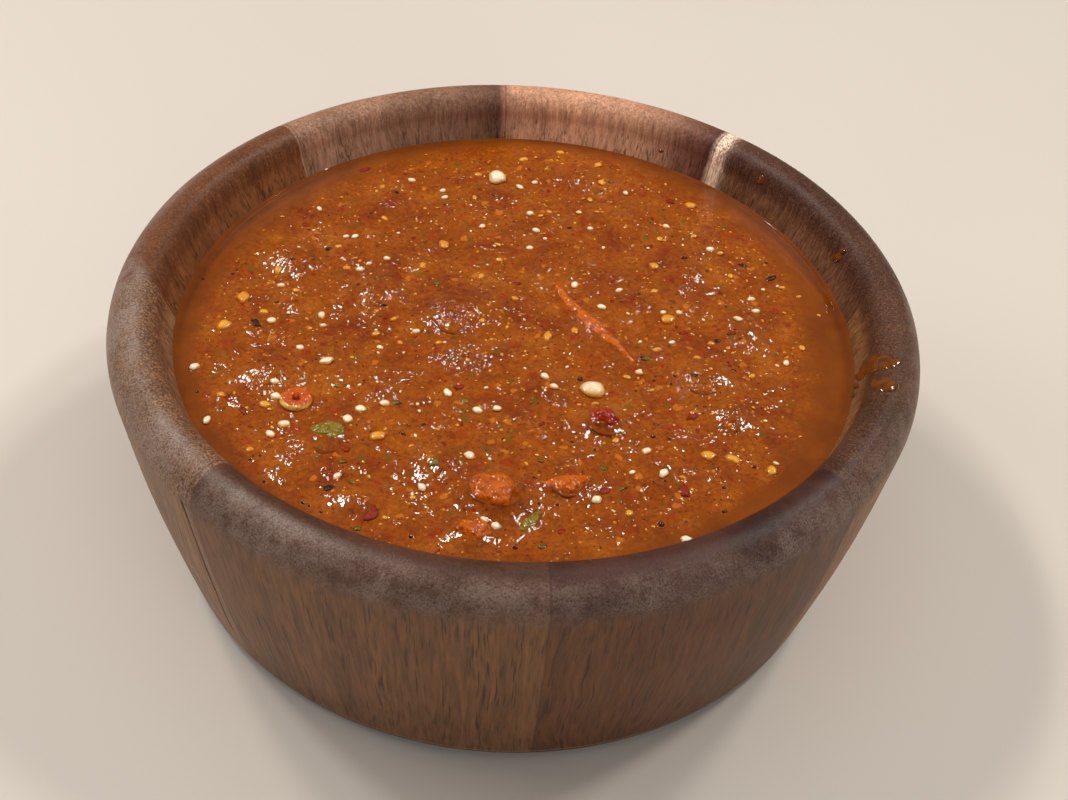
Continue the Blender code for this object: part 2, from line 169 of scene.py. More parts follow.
# Smaller ones by their places in the photograph: x, y, length in pixels
PALE = (
    (325, 170, 8), (346, 237, 7), (355, 237, 8), (387, 259, 8), (369, 264, 7), (360, 270, 9),
    (281, 286, 9), (272, 321, 10), (323, 326, 8), (397, 318, 7), (380, 348, 8), (300, 348, 9),
    (412, 181, 9), (535, 183, 7), (445, 198, 8), (530, 214, 8), (536, 231, 9), (579, 213, 7),
    (590, 229, 7), (545, 239, 5), (416, 332, 9), (619, 291, 9), (666, 227, 8), (710, 250, 9),
    (751, 300, 9), (663, 313, 7), (679, 313, 7), (672, 343, 8), (763, 290, 5), (276, 397, 12),
    (275, 382, 10), (284, 425, 13), (290, 421, 5), (270, 435, 10), (385, 404, 11), (497, 409, 10),
    (554, 387, 10), (596, 500, 12), (484, 524, 9), (496, 528, 11), (486, 388, 5), (639, 373, 9),
    (777, 366, 5), (632, 473, 8), (776, 464, 7),
)
ORANGE = (
    (294, 295, 10), (376, 334, 10), (478, 175, 9), (541, 216, 7), (553, 214, 6), (597, 212, 6),
    (498, 245, 8), (499, 260, 8), (264, 312, 10), (602, 183, 9), (560, 153, 9), (524, 160, 10),
    (782, 288, 8), (657, 350, 10), (711, 344, 9), (799, 297, 7), (221, 395, 11), (250, 450, 10),
    (335, 472, 9), (385, 518, 7), (579, 405, 6), (595, 404, 9), (411, 446, 7), (550, 374, 11),
    (413, 498, 8), (683, 478, 9), (697, 358, 9),
)
CHAR = (
    (383, 305, 6), (328, 249, 7), (233, 274, 5), (292, 259, 5), (376, 251, 5), (309, 230, 4),
    (396, 192, 6), (371, 213, 4), (203, 279, 4), (277, 302, 4), (569, 228, 6), (494, 195, 4),
    (492, 210, 4), (444, 205, 4), (416, 319, 4), (573, 321, 5), (582, 342, 4), (684, 258, 7),
    (741, 266, 9), (771, 279, 11), (639, 294, 5), (707, 271, 4), (672, 308, 4), (717, 341, 7),
    (766, 263, 4), (197, 392, 4), (389, 418, 6), (328, 488, 12), (313, 484, 4), (562, 397, 4),
    (423, 425, 6), (503, 439, 4), (535, 478, 5), (572, 442, 5), (734, 371, 7), (694, 376, 9),
    (754, 467, 6), (724, 488, 5), (724, 512, 6), (686, 522, 4), (636, 391, 4),
)
GREEN = (
    (378, 279, 8), (372, 325, 5), (344, 241, 5), (437, 284, 9), (611, 182, 6), (561, 222, 5),
    (338, 386, 8), (327, 399, 6), (396, 403, 9), (371, 479, 6), (353, 482, 9), (342, 462, 9),
    (358, 529, 9), (464, 401, 11), (435, 463, 12), (520, 423, 7), (500, 426, 6), (541, 461, 7),
    (603, 469, 10), (621, 489, 8), (620, 502, 8), (542, 547, 10), (624, 433, 8), (647, 359, 10),
    (692, 430, 5), (667, 407, 6), (777, 354, 6), (736, 425, 6), (633, 520, 5),
)
RED = (
    (306, 225, 9), (325, 345, 9), (516, 284, 9), (648, 247, 9), (683, 333, 10), (731, 333, 9),
    (788, 326, 7), (243, 410, 13), (267, 441, 8), (345, 449, 12), (317, 480, 9), (460, 387, 12),
    (522, 458, 5), (606, 492, 12), (476, 422, 9), (561, 532, 9), (413, 337, 7), (365, 170, 10),
)
BUBBLES = (
    (250, 460, 5), (260, 456, 4), (595, 450, 4), (580, 380, 9), (403, 434, 6), (515, 548, 8),
    (411, 537, 7), (539, 504, 5), (557, 505, 6), (654, 381, 5), (671, 384, 5), (675, 376, 6),
    (653, 437, 8), (658, 425, 5), (661, 525, 10), (665, 481, 5), (697, 406, 3), (303, 503, 6),
    (309, 506, 4), (321, 512, 5), (516, 352, 4), (264, 482, 5),
)
BUBBLE_RIM = 0.24
# Wet, broken pulp that catches the light: x, y, width in pixels
GLINTS = (
    (384, 204, 14), (372, 303, 26), (286, 254, 16), (258, 330, 14), (284, 338, 22), (456, 179, 18),
    (558, 203, 10), (602, 194, 12), (572, 183, 8), (703, 257, 26), (689, 275, 14), (687, 291, 16),
    (709, 319, 20), (750, 307, 14), (762, 311, 8), (732, 329, 10), (295, 454, 20), (320, 451, 12),
    (355, 399, 14), (369, 399, 10), (343, 349, 12), (336, 412, 10), (364, 501, 10), (352, 515, 8),
    (423, 363, 10), (444, 428, 8), (442, 475, 14), (731, 412, 18), (748, 403, 12), (735, 429, 16),
    (456, 312, 44), (472, 360, 46), (705, 383, 34), (275, 380, 36), (455, 465, 12), (493, 488, 24),
    (560, 206, 14), (522, 300, 12), (605, 424, 20), (660, 262, 10), (752, 365, 14), (515, 462, 8),
)
GLINT_REACH = 6.0
# Raised lines of liquid round larger pieces and mounds
WET_LINES = (
    ((469, 486), (470, 496), (475, 504), (484, 510)),
    ((546, 482), (551, 490), (559, 495), (568, 497), (577, 496)),
    ((552, 484), (558, 489), (566, 491)), ((430, 317), (437, 325), (446, 331), (455, 334)),
    ((589, 428), (598, 433), (610, 435), (620, 433)), ((313, 447), (322, 452), (334, 451)),
    ((520, 508), (530, 512), (540, 511)), ((690, 390), (702, 394), (716, 392)),
)
WET_LINE_WIDTHS = (0.3, 0.85)
WET_LINE_THICKNESS = 0.42
WET_LINE_RISE = 0.04
# For each kind of bit: width and thickness against length, raggedness, point, how far it stands out,
# and the number and mean length in mm of its crumbs
KINDS = {
    "pale": (0.78, 0.42, 0.16, 0.45, 0.10, 90, 0.7),
    "orange": (0.74, 0.40, 0.22, 0.20, 0.02, 230, 0.8),
    "char": (0.62, 0.22, 0.45, 0.0, 0.04, 110, 0.5),
    "green": (0.60, 0.16, 0.45, 0.0, 0.03, 70, 0.7),
    "red": (0.62, 0.18, 0.45, 0.0, 0.02, 120, 0.9),
}
CRUMB_REACH = 61.0 * MM

# Sauce on the rim: films and drops as blobs of x, y and radius in pixels, with a thickness in mm
FILMS = {
    "rim_smear": (((882, 361, 8), (873, 364, 9), (892, 363, 7), (865, 370, 6), (900, 362, 3),
                   (859, 377, 5), (856, 386, 4), (852, 395, 4)), 0.35),
    "rim_drop": (((879, 384, 8), (886, 384, 9), (893, 387, 6)), 0.5),
    "rim_small_drop": (((836, 258, 6), (843, 251, 4)), 0.6),
    "rim_fleck": (((761, 182, 4), (762, 177, 3)), 0.25),
    "rim_spot": (((661, 151, 3),), 0.2),
    "rim_dribble": (((300, 505, 4), (308, 508, 3), (321, 512, 3)), 0.4),
}
FILM_EDGE = 0.35
FILM_FLAT = 0.42
FILM_STRETCH = 1.25
FILM_SINK = 0.25 * MM

# Wood: radius at which the grain is laid out, and how far the wall leans out for each metre of height
GRAIN_RADIUS = 72.0 * MM
WALL_LEAN = 0.165
RIM_FROM = 47.0 * MM

# Lights: place, height of the aim, width, watts and colour; the small lamps make the highlights
LAMP_COLOUR = (1.0, 0.96, 0.9)
SOFT_COLOUR = (1.0, 0.985, 0.97)
LIGHTS = {
    "lamp_1": ((0.53, 0.17, 0.83), 0.0, 0.11, 2.0, LAMP_COLOUR),
    "lamp_2": ((0.45, 0.36, 0.81), 0.0, 0.11, 1.8, LAMP_COLOUR),
    "lamp_3": ((-0.51, 0.20, 0.84), 0.0, 0.11, 2.0, LAMP_COLOUR),
    "lamp_4": ((-0.46, 0.35, 0.81), 0.0, 0.11, 1.8, LAMP_COLOUR),
    "overhead": ((0.0, -0.1, 1.2), 0.0, 1.0, 2.4, SOFT_COLOUR),
    "side": ((-1.0, 0.2, 0.7), 0.05, 0.6, 2.6, (1.0, 0.99, 0.98)),
    "fill": ((0.5, -1.1, 0.7), 0.03, 1.2, 4.3, SOFT_COLOUR),
}
WIDEST_MIRRORED = 0.5
WORLD_COLOUR = (1.0, 0.98, 0.95, 1.0)
WORLD_STRENGTH = 0.10
FLOOR_SIZE = 4.0
FLOOR_DROP = 0.2 * MM


def surface_disc():
    """Rings of points, six more in each ring than in the last, and the triangles between them."""
    fine_rings = 10
    fine_width = 2.0 * MM
    inner_rings = SURFACE_RINGS - fine_rings
    inner_reach = SURFACE_REACH - fine_width
    radii = [inner_reach * k / inner_rings for k in range(inner_rings + 1)]
    radii += [inner_reach + fine_width * (k + 1) / fine_rings for k in range(fine_rings)]
    points = [(0.0, 0.0)]
    faces = []
    inner = 0
    for ring in range(1, SURFACE_RINGS + 1):
        outer = len(points)
        for j in range(6 * ring):
            angle = math.tau * j / (6 * ring)
            points.append((radii[ring] * math.cos(angle), radii[ring] * math.sin(angle)))
        inner_count = max(6 * (ring - 1), 1)
        for sector in range(6):
            for j in range(ring):
                a = outer + sector * ring + j
                b = outer + (sector * ring + j + 1) % (6 * ring)
                c = inner + (sector * (ring - 1) + j) % inner_count
                faces.append((a, b, c))
                if j < ring - 1:
                    d = inner + (sector * (ring - 1) + j + 1) % inner_count
                    faces.append((b, d, c))
        inner = outer
    return points, faces, inner


def band(first, second, count):
    """Faces between two rings of points that start at these two indices."""
    return [(first + j, second + j, second + (j + 1) % count, first + (j + 1) % count) for j in range(count)]


def new_mesh(name, points, faces, outward=True, **values):
    """Mesh that stores values on its points; loose points go and faces turn out where that is asked."""
    mesh = bpy.data.meshes.new(name)
    mesh.from_pydata(points, [], faces)
    for key, numbers in values.items():
        mesh.attributes.new(key, "FLOAT", "POINT").data.foreach_set("value", numbers)
    if outward:
        bm = bmesh.new()
        bm.from_mesh(mesh)
        bmesh.ops.delete(bm, geom=[v for v in bm.verts if not v.link_faces], context="VERTS")
        bmesh.ops.recalc_face_normals(bm, faces=bm.faces)
        bm.to_mesh(mesh)
        bm.free()
    return mesh


def rgb(red, green, blue):
    """Linear colour, with alpha, of a screen colour given from 0 to 255."""
    linear = []
    for value in (red, green, blue):
        share = value / 255.0
        linear.append(share / 12.92 if share <= 0.04045 else ((share + 0.055) / 1.055) ** 2.4)
    return (*linear, 1.0)


def smooth_step(low, high, value):
    """Ease from 0 at low to 1 at high."""
    t = min(max((value - low) / (high - low), 0.0), 1.0)
    return t * t * (3.0 - 2.0 * t)


def arc(centre, size, start, end, steps):
    """Points of an elliptical arc between two angles in degrees, both ends included."""
    points = []
    for i in range(steps + 1):
        angle = math.radians(start + (end - start) * i / steps)
        points.append((centre[0] + size[0] * math.cos(angle), centre[1] + size[1] * math.sin(angle)))
    return points


def full_colour(value):
    """Colour with alpha of a grey level, or of a colour with or without alpha."""
    if isinstance(value, tuple):
        return (*value, 1.0)[:4]
    return (value, value, value, 1.0)


class Value:
    """One output of a node, so that sums of outputs are written as sums."""

    def __init__(self, graph, socket):
        self.graph = graph
        self.socket = socket

    def __add__(self, other):
        return self.graph.math("ADD", self, other)

    def __sub__(self, other):
        return self.graph.math("SUBTRACT", self, other)

    def __rsub__(self, other):
        return self.graph.math("SUBTRACT", other, self)

    def __mul__(self, other):
        return self.graph.math("MULTIPLY", self, other)

    def __truediv__(self, other):
        return self.graph.math("DIVIDE", self, other)


class Graph:
    """A Principled material and a short way to write its nodes; lengths are in metres."""

    def __init__(self, name):
        self.material = bpy.data.materials.new(name)
        self.material.use_nodes = True
        self.tree = self.material.node_tree

    def feed(self, inputs, values):
        """Link inputs to other nodes' outputs, or set their values."""
        for key, value in values.items():
            if isinstance(value, Value):
                self.tree.links.new(value.socket, inputs[key])
            else:
                inputs[key].default_value = value

    def finish(self, **values):
        """Feed the shader's inputs, named with _ for a space, and return the material."""
        shader = self.tree.nodes["Principled BSDF"]
        self.feed(shader.inputs, {key.replace("_", " "): value for key, value in values.items()})
        return self.material

    def nodes(self, kind, inputs, *outputs, **settings):
        """Add a node with some inputs fed, and return some of its outputs."""
        node = self.tree.nodes.new("ShaderNode" + kind)
        for key, value in settings.items():
            setattr(node, key, value)
        self.feed(node.inputs, inputs)
        return [Value(self, node.outputs[output]) for output in outputs]

    def node(self, kind, inputs, output=0, **settings):
        """Add a node with some inputs fed, and return one of its outputs."""
        return self.nodes(kind, inputs, output, **settings)[0]

    def place(self, stretch=(1.0, 1.0, 1.0)):
        """Position on the object, stretched."""
        return self.stretch(self.node("TexCoord", {}, "Object"), stretch)

    def stretch(self, spot, scale):
        """Place scaled by its own factor on each axis."""
        return self.node("Mapping", {"Vector": spot, "Scale": scale})

    def shift(self, spot, offset):
        """Place moved by an offset."""
        return self.node("VectorMath", {0: spot, 1: offset}, operation="ADD")

    def math(self, operation, first, second=0.0, clamp=False):
        """One sum on two values."""
        return self.node("Math", {0: first, 1: second}, operation=operation, use_clamp=clamp)

    def mix(self, factor, first, second, blend="MIX"):
        """Blend two colours."""
        return self.node("Mix", {0: factor, 6: first, 7: second}, 2, data_type="RGBA", blend_type=blend)

    def noise(self, spot, length, detail=3.0, roughness=0.55, distortion=0.0):
        """Fractal noise with features of about this length."""
        inputs = {"Vector": spot, "Scale": 1.0 / length, "Detail": detail, "Roughness": roughness,
                  "Distortion": distortion}
        return self.node("TexNoise", inputs, "Fac")

    def warp(self, spot, length, amount):
        """Place pushed about by noise of this length, by up to this amount."""
        push = self.node("TexNoise", {"Vector": spot, "Scale": 1.0 / length, "Detail": 2.0}, "Color")
        push = self.node("VectorMath", {0: push, 1: (0.5, 0.5, 0.5)}, operation="SUBTRACT")
        push = self.node("VectorMath", {0: push, "Scale": 2.0 * amount}, operation="SCALE")
        return self.shift(spot, push)

    def steps(self, factor, low, high):
        """Ease a value from 0 at low to 1 at high."""
        return self.node("MapRange", {"Value": factor, "From Min": low, "From Max": high}, "Result",
                         interpolation_type="SMOOTHSTEP")

    def ramp(self, factor, stops, interpolation="LINEAR"):
        """Ramp through stops of (position, colour or grey level)."""
        ramp = self.node("ValToRGB", {0: factor})
        settings = ramp.socket.node.color_ramp
        settings.interpolation = interpolation
        settings.elements.remove(settings.elements[1])
        settings.elements[0].position = stops[0][0]
        settings.elements[0].color = full_colour(stops[0][1])
        for position, value in stops[1:]:
            settings.elements.new(position).color = full_colour(value)
        return ramp

    def shades(self, factor, low, dark, high, light):
        """Factor to multiply a colour by: dark at low, 1 at half, light at high."""
        return self.ramp(factor, ((low, dark), (0.5, 1.0), (high, light)))

    def by_angle(self, share, stops, interpolation="LINEAR"):
        """Level or colour round the bowl, through stops of (degrees, value)."""
        return self.ramp(share, [(turn_share(place), value) for place, value in stops], interpolation)

    def by_stave(self, share, *values):
        """Level or colour of each stave, in the order of the seams."""
        return self.by_angle(share, list(zip((-180.0, *SEAMS), values)), "CONSTANT")

    def cells(self, spot, spacing):
        """Distance from the nearest of scattered centres, and each centre's own colour."""
        inputs = {"Vector": spot, "Scale": 1.0 / spacing}
        return self.nodes("TexVoronoi", inputs, "Distance", "Color")

    def dots(self, spot, spacing, size, share):
        """Scattered round dots: their spacing and radius, and the share of places used."""
        distance, own = self.cells(spot, spacing)
        near = self.steps(distance, size / spacing, 0.6 * size / spacing)
        return near * self.math("LESS_THAN", self.node("SeparateColor", {0: own}), share)

    def cones(self, spot, spacing):
        """Height of blunt cones side by side, each sloping at 45 degrees."""
        return self.cells(spot, spacing)[0] * -spacing

    def attribute(self, name):
        """A value stored on the mesh's points."""
        return self.node("Attribute", {}, "Fac", attribute_name=name)

    def bump(self, height, strength=1.0, distance=1.0):
        """Normal bent by a height."""
        return self.node("Bump", {"Height": height, "Strength": strength, "Distance": distance}, "Normal")


def add_piece(name, mesh, material, slot, node=None):
    """Put a mesh in the scene as a smooth piece that rides on the one body and replaces a node."""
    piece = bpy.data.objects.new(name, mesh)
    bpy.context.scene.collection.objects.link(piece)
    mesh.materials.append(material)
    mesh.shade_smooth()
    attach(piece, "root")
    if node:
        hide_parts(node)
    return piece


def make_camera():
    """Camera at the photograph's place, turned by the photograph's small roll."""
    data = bpy.data.cameras.new("camera")
    data.lens = SENSOR_WIDTH * FOCAL_PIXELS / PHOTO_WIDTH
    data.sensor_width = SENSOR_WIDTH
    data.sensor_fit = "HORIZONTAL"
    data.clip_start = 0.01
    camera = bpy.data.objects.new("camera", data)
    bpy.context.scene.collection.objects.link(camera)
    turn = Matrix.Rotation(math.pi / 2.0 - CAMERA_ELEVATION, 3, "X") @ Matrix.Rotation(CAMERA_ROLL, 3, "Z")
    right, up, back = turn.transposed()
    eye = CAMERA_TARGET + back * CAMERA_DISTANCE
    camera.matrix_world = Matrix.LocRotScale(eye, turn, None)
    bpy.context.scene.camera = camera
    return eye, right, up, -back


EYE, RIGHT, UP, FORWARD = make_camera()


def margin_width(angle):
    """Width of the smooth liquid band at an angle, eased between the listed ones."""
    turn = (angle / math.tau) % 1.0 * len(MARGIN_WIDTHS)
    first = int(turn) % len(MARGIN_WIDTHS)
    second = (first + 1) % len(MARGIN_WIDTHS)
    t = smooth_step(0.0, 1.0, turn - int(turn))
    return ((1.0 - t) * MARGIN_WIDTHS[first] + t * MARGIN_WIDTHS[second]) * MM


def calmness(x, y):
    """0 in the liquid band at the wall, 1 in the pulp."""
    margin = margin_width(math.atan2(y, x))
    return smooth_step(0.4 * margin, margin + MARGIN_RISE, LEVEL_RADIUS - math.hypot(x, y))


def surface_height(x, y):
    """Height of the salsa's surface, as in the solids."""
    rise = SWELL * noise.noise(Vector((x / SWELL_LENGTH, y / SWELL_LENGTH, 3.0)))
    rise += RIPPLE * noise.noise(Vector((x / RIPPLE_LENGTH, y / RIPPLE_LENGTH, 8.0)))
    mounds = 0.0
    for mx, my, wide, deep, high in MOUNDS:
        reach = ((x / MM - mx) / (0.5 * wide)) ** 2 + ((y / MM - my) / (0.5 * deep)) ** 2
        if reach < MOUND_REACH:
            mounds = max(mounds, high * MM * math.exp(-reach))
    fade = smooth_step(0.0, MOUND_FADE, LEVEL_RADIUS - math.hypot(x, y))
    return LEVEL + calmness(x, y) * rise + fade * mounds


def sight(px, py):
    """Ray from the camera through a pixel of the photograph."""
    right = RIGHT * ((px - PHOTO_WIDTH / 2) / FOCAL_PIXELS)
    return FORWARD + right - UP * ((py - PHOTO_HEIGHT / 2) / FOCAL_PIXELS)


def on_salsa(px, py):
    """Point on the salsa's surface behind a pixel of the photograph, and the metres in one pixel."""
    ray = sight(px, py)
    height = LEVEL
    for _ in range(4):
        depth = (height - EYE.z) / ray.z
        point = EYE + ray * depth
        height = surface_height(point.x, point.y)
    return point, depth / FOCAL_PIXELS


def path_point(path, t):
    """Point and width at t from 0 to 1 on a smooth curve through the path's points."""
    spans = len(path) - 1
    index = min(int(t * spans), spans - 1)
    u = t * spans - index
    before = Vector(path[max(index - 1, 0)])
    start = Vector(path[index])
    end = Vector(path[index + 1])
    after = Vector(path[min(index + 2, spans)])
    bend = 2.0 * before - 5.0 * start + 4.0 * end - after
    twist = 3.0 * (start - end) + after - before
    return start + 0.5 * u * (end - before + u * (bend + u * twist))


def piece_spots():
    """Round spots that cover the larger pieces: x, y, radius, rise of the sauce on them, and the reach
    that seeds keep clear of, as in the solids."""
    spots = []
    for x, y, length, width, thickness, _, rise in CHUNKS.values():
        wide = max(length, width)
        spots.append((x, y, 0.5 * wide, 0.5 * thickness + rise, 0.56 * wide * MM + 2.0 * GAP))
    for path, thickness, rise in STRIPS.values():
        for i in range(STRIP_RINGS):
            x, y, wide = path_point(path, i / (STRIP_RINGS - 1))
            top = (0.5 * thickness + rise) * min(wide / 2.0, 1.0)
            spots.append((x, y, max(0.5 * wide, 0.6), top, 0.5 * wide * MM + 3.0 * GAP))
    return [(x * MM, y * MM, radius * MM, BANK_SHARE * top * MM, clear) for x, y, radius, top, clear in spots]


PIECE_SPOTS = piece_spots()


def pulp_height(x, y):
    """Height of the surface with the sauce that has crept up the larger pieces."""
    bank = 0.0
    for bx, by, radius, rise, _ in PIECE_SPOTS:
        if abs(x - bx) < BANK_REACH * radius and abs(y - by) < BANK_REACH * radius:
            away = max(math.hypot(x - bx, y - by) / radius - BANK_START, 0.0) / BANK_FALL
            bank = max(bank, rise * math.exp(-away * away))
    return surface_height(x, y) + bank


def salsa_normal(x, y):
    """Upward normal of the salsa's surface."""
    step = 0.5 * MM
    drop_x = pulp_height(x - step, y) - pulp_height(x + step, y)
    drop_y = pulp_height(x, y - step) - pulp_height(x, y + step)
    return Vector((drop_x, drop_y, 2.0 * step)).normalized()


def clear_of_pieces(x, y, radius):
    """True where a seed of this radius stays clear of every larger piece, as in the solids."""
    if any(math.hypot(x - px, y - py) < clear + radius for px, py, _, _, clear in PIECE_SPOTS):
        return False
    from_ring = math.hypot(x - RING_PLACE[0] * MM, y - RING_PLACE[1] * MM)
    return from_ring > RING_RADIUS + RING_THICKNESS + radius


def seed_places():
    """Place, length and kind of the seeds that the solids hold: large ones, then small ones between."""
    draw = random.Random(RANDOM_SEED)
    seeds = []
    for x, y, length, kind in LARGE_SEEDS:
        if clear_of_pieces(x * MM, y * MM, 0.5 * length * MM):
            seeds.append((x * MM, y * MM, length * MM, kind))
    wanted = len(seeds) + SMALL_SEED_COUNT
    while len(seeds) < wanted:
        radius = SMALL_SEED_REACH * math.sqrt(draw.random())
        angle = math.tau * draw.random()
        length = draw.uniform(*SMALL_SEED_LENGTHS)
        x = radius * math.cos(angle)
        y = radius * math.sin(angle)
        apart = all(math.hypot(x - seed[0], y - seed[1]) > SMALL_SEED_SPACING for seed in seeds)
        if apart and clear_of_pieces(x, y, 0.5 * length):
            kind = "orange" if len(seeds) % 3 else "pale"
            seeds.append((x, y, length, kind))
    return seeds


def bowl_outline():
    """Half section of the bowl: up the inside, over the rim, down the outside, under the foot."""
    floor = (HOLLOW_ARC_RADIUS - FLOOR_RADIUS, HOLLOW_ARC_HEIGHT - FLOOR_THICKNESS)
    points = arc((FLOOR_RADIUS, HOLLOW_ARC_HEIGHT), floor, -90, 0, 10)
    mouth = HEIGHT - LIP_DROP_INSIDE
    for t in (0.0, 0.25, 0.5, 0.75):
        points.append((LEVEL_RADIUS + (MOUTH_RADIUS - LEVEL_RADIUS) * t, LEVEL + (mouth - LEVEL) * t))
    points += arc((CREST_RADIUS, mouth), (CREST_RADIUS - MOUTH_RADIUS, LIP_DROP_INSIDE), 180, 90, 14)
    shoulder = HEIGHT - LIP_DROP_OUTSIDE
    points += arc((CREST_RADIUS, shoulder), (RIM_RADIUS - CREST_RADIUS, LIP_DROP_OUTSIDE), 90, 0, 18)[1:]
    wall_steps = 36
    for step in range(1, wall_steps + 1):
        t = step / wall_steps
        radius = RIM_RADIUS + (BASE_RADIUS - RIM_RADIUS) * t + WALL_BULGE * math.sin(math.pi * t)
        points.append((radius, shoulder + (BASE_CHAMFER - shoulder) * t))
    for inward, up in ((0.08, 0.8), (0.25, 0.55), (0.7, 0.33)):
        points.append((BASE_RADIUS - inward * BASE_CHAMFER, up * BASE_CHAMFER))
    return points + [(FOOT_RADIUS + FOOT_HEIGHT, FOOT_HEIGHT), (FOOT_RADIUS, 0.0)]


def bowl_angles():
    """Even angles round the bowl, with closer ones at the crack."""
    angles = [math.tau * i / BOWL_SEGMENTS - math.pi for i in range(BOWL_SEGMENTS)]
    half = CRACK_HALF_WIDTH / RIM_RADIUS
    near = [CRACK_ANGLE + k * half for k in (-1.7, -1.0, 0.0, 1.0, 1.7)]
    angles = [a for a in angles if min(abs(a - b) for b in near) > 2.0 * half]
    return sorted(angles + near)


def crack_shift(z):
    """How far the crack wanders round the bowl at a height, in radians."""
    drop = (CRACK_TOP - z) / (CRACK_TOP - CRACK_BOTTOM)
    return math.radians(0.35 * math.sin(4.5 * drop) - 0.8 * max(drop - 0.6, 0.0))


def bowl_mesh():
    """Turned bowl with a hairline crack down one seam and a slightly uneven wall."""
    outline = bowl_outline()
    angles = bowl_angles()
    vertices = []
    crack = []
    reach = math.radians(6.0)
    for radius, z in outline:
        cracked = CRACK_BOTTOM < z < CRACK_TOP and radius > MOUTH_RADIUS
        for angle in angles:
            away = abs(angle - CRACK_ANGLE)
            turn = angle + (crack_shift(z) * (1.0 - smooth_step(0.0, reach, away)) if cracked else 0.0)
            uneven = 0.10 * MM * noise.noise(Vector((math.cos(turn) * 4.0, math.sin(turn) * 4.0, z * 60.0)))
            r = radius + (uneven if z > BASE_CHAMFER else 0.0)
            opened = 0.0
            if cracked and away < 1.2 * CRACK_HALF_WIDTH / RIM_RADIUS:
                opened = smooth_step(CRACK_BOTTOM, CRACK_BOTTOM + 6.0 * MM, z)
                opened *= 1.0 - smooth_step(CRACK_TOP - 3.0 * MM, CRACK_TOP, z)
                r -= CRACK_DEPTH * opened
            vertices.append((r * math.cos(turn), r * math.sin(turn), z))
            crack.append(opened)
    count = len(angles)
    faces = []
    for i in range(len(outline) - 1):
        faces += band(i * count, (i + 1) * count, count)
    inside = len(vertices)
    vertices += [(0.0, 0.0, FLOOR_THICKNESS), (0.0, 0.0, 0.0)]
    last = (len(outline) - 1) * count
    for j in range(count):
        k = (j + 1) % count
        faces += [(inside, j, k), (last + j, inside + 1, last + k)]
    return new_mesh("bowl_turned", vertices, faces, crack=crack + [0.0, 0.0])


def turn_share(degrees):
    """An angle from -180 to 180 degrees as a share of the turn from 0 to 1."""
    return (degrees + 180.0) / 360.0


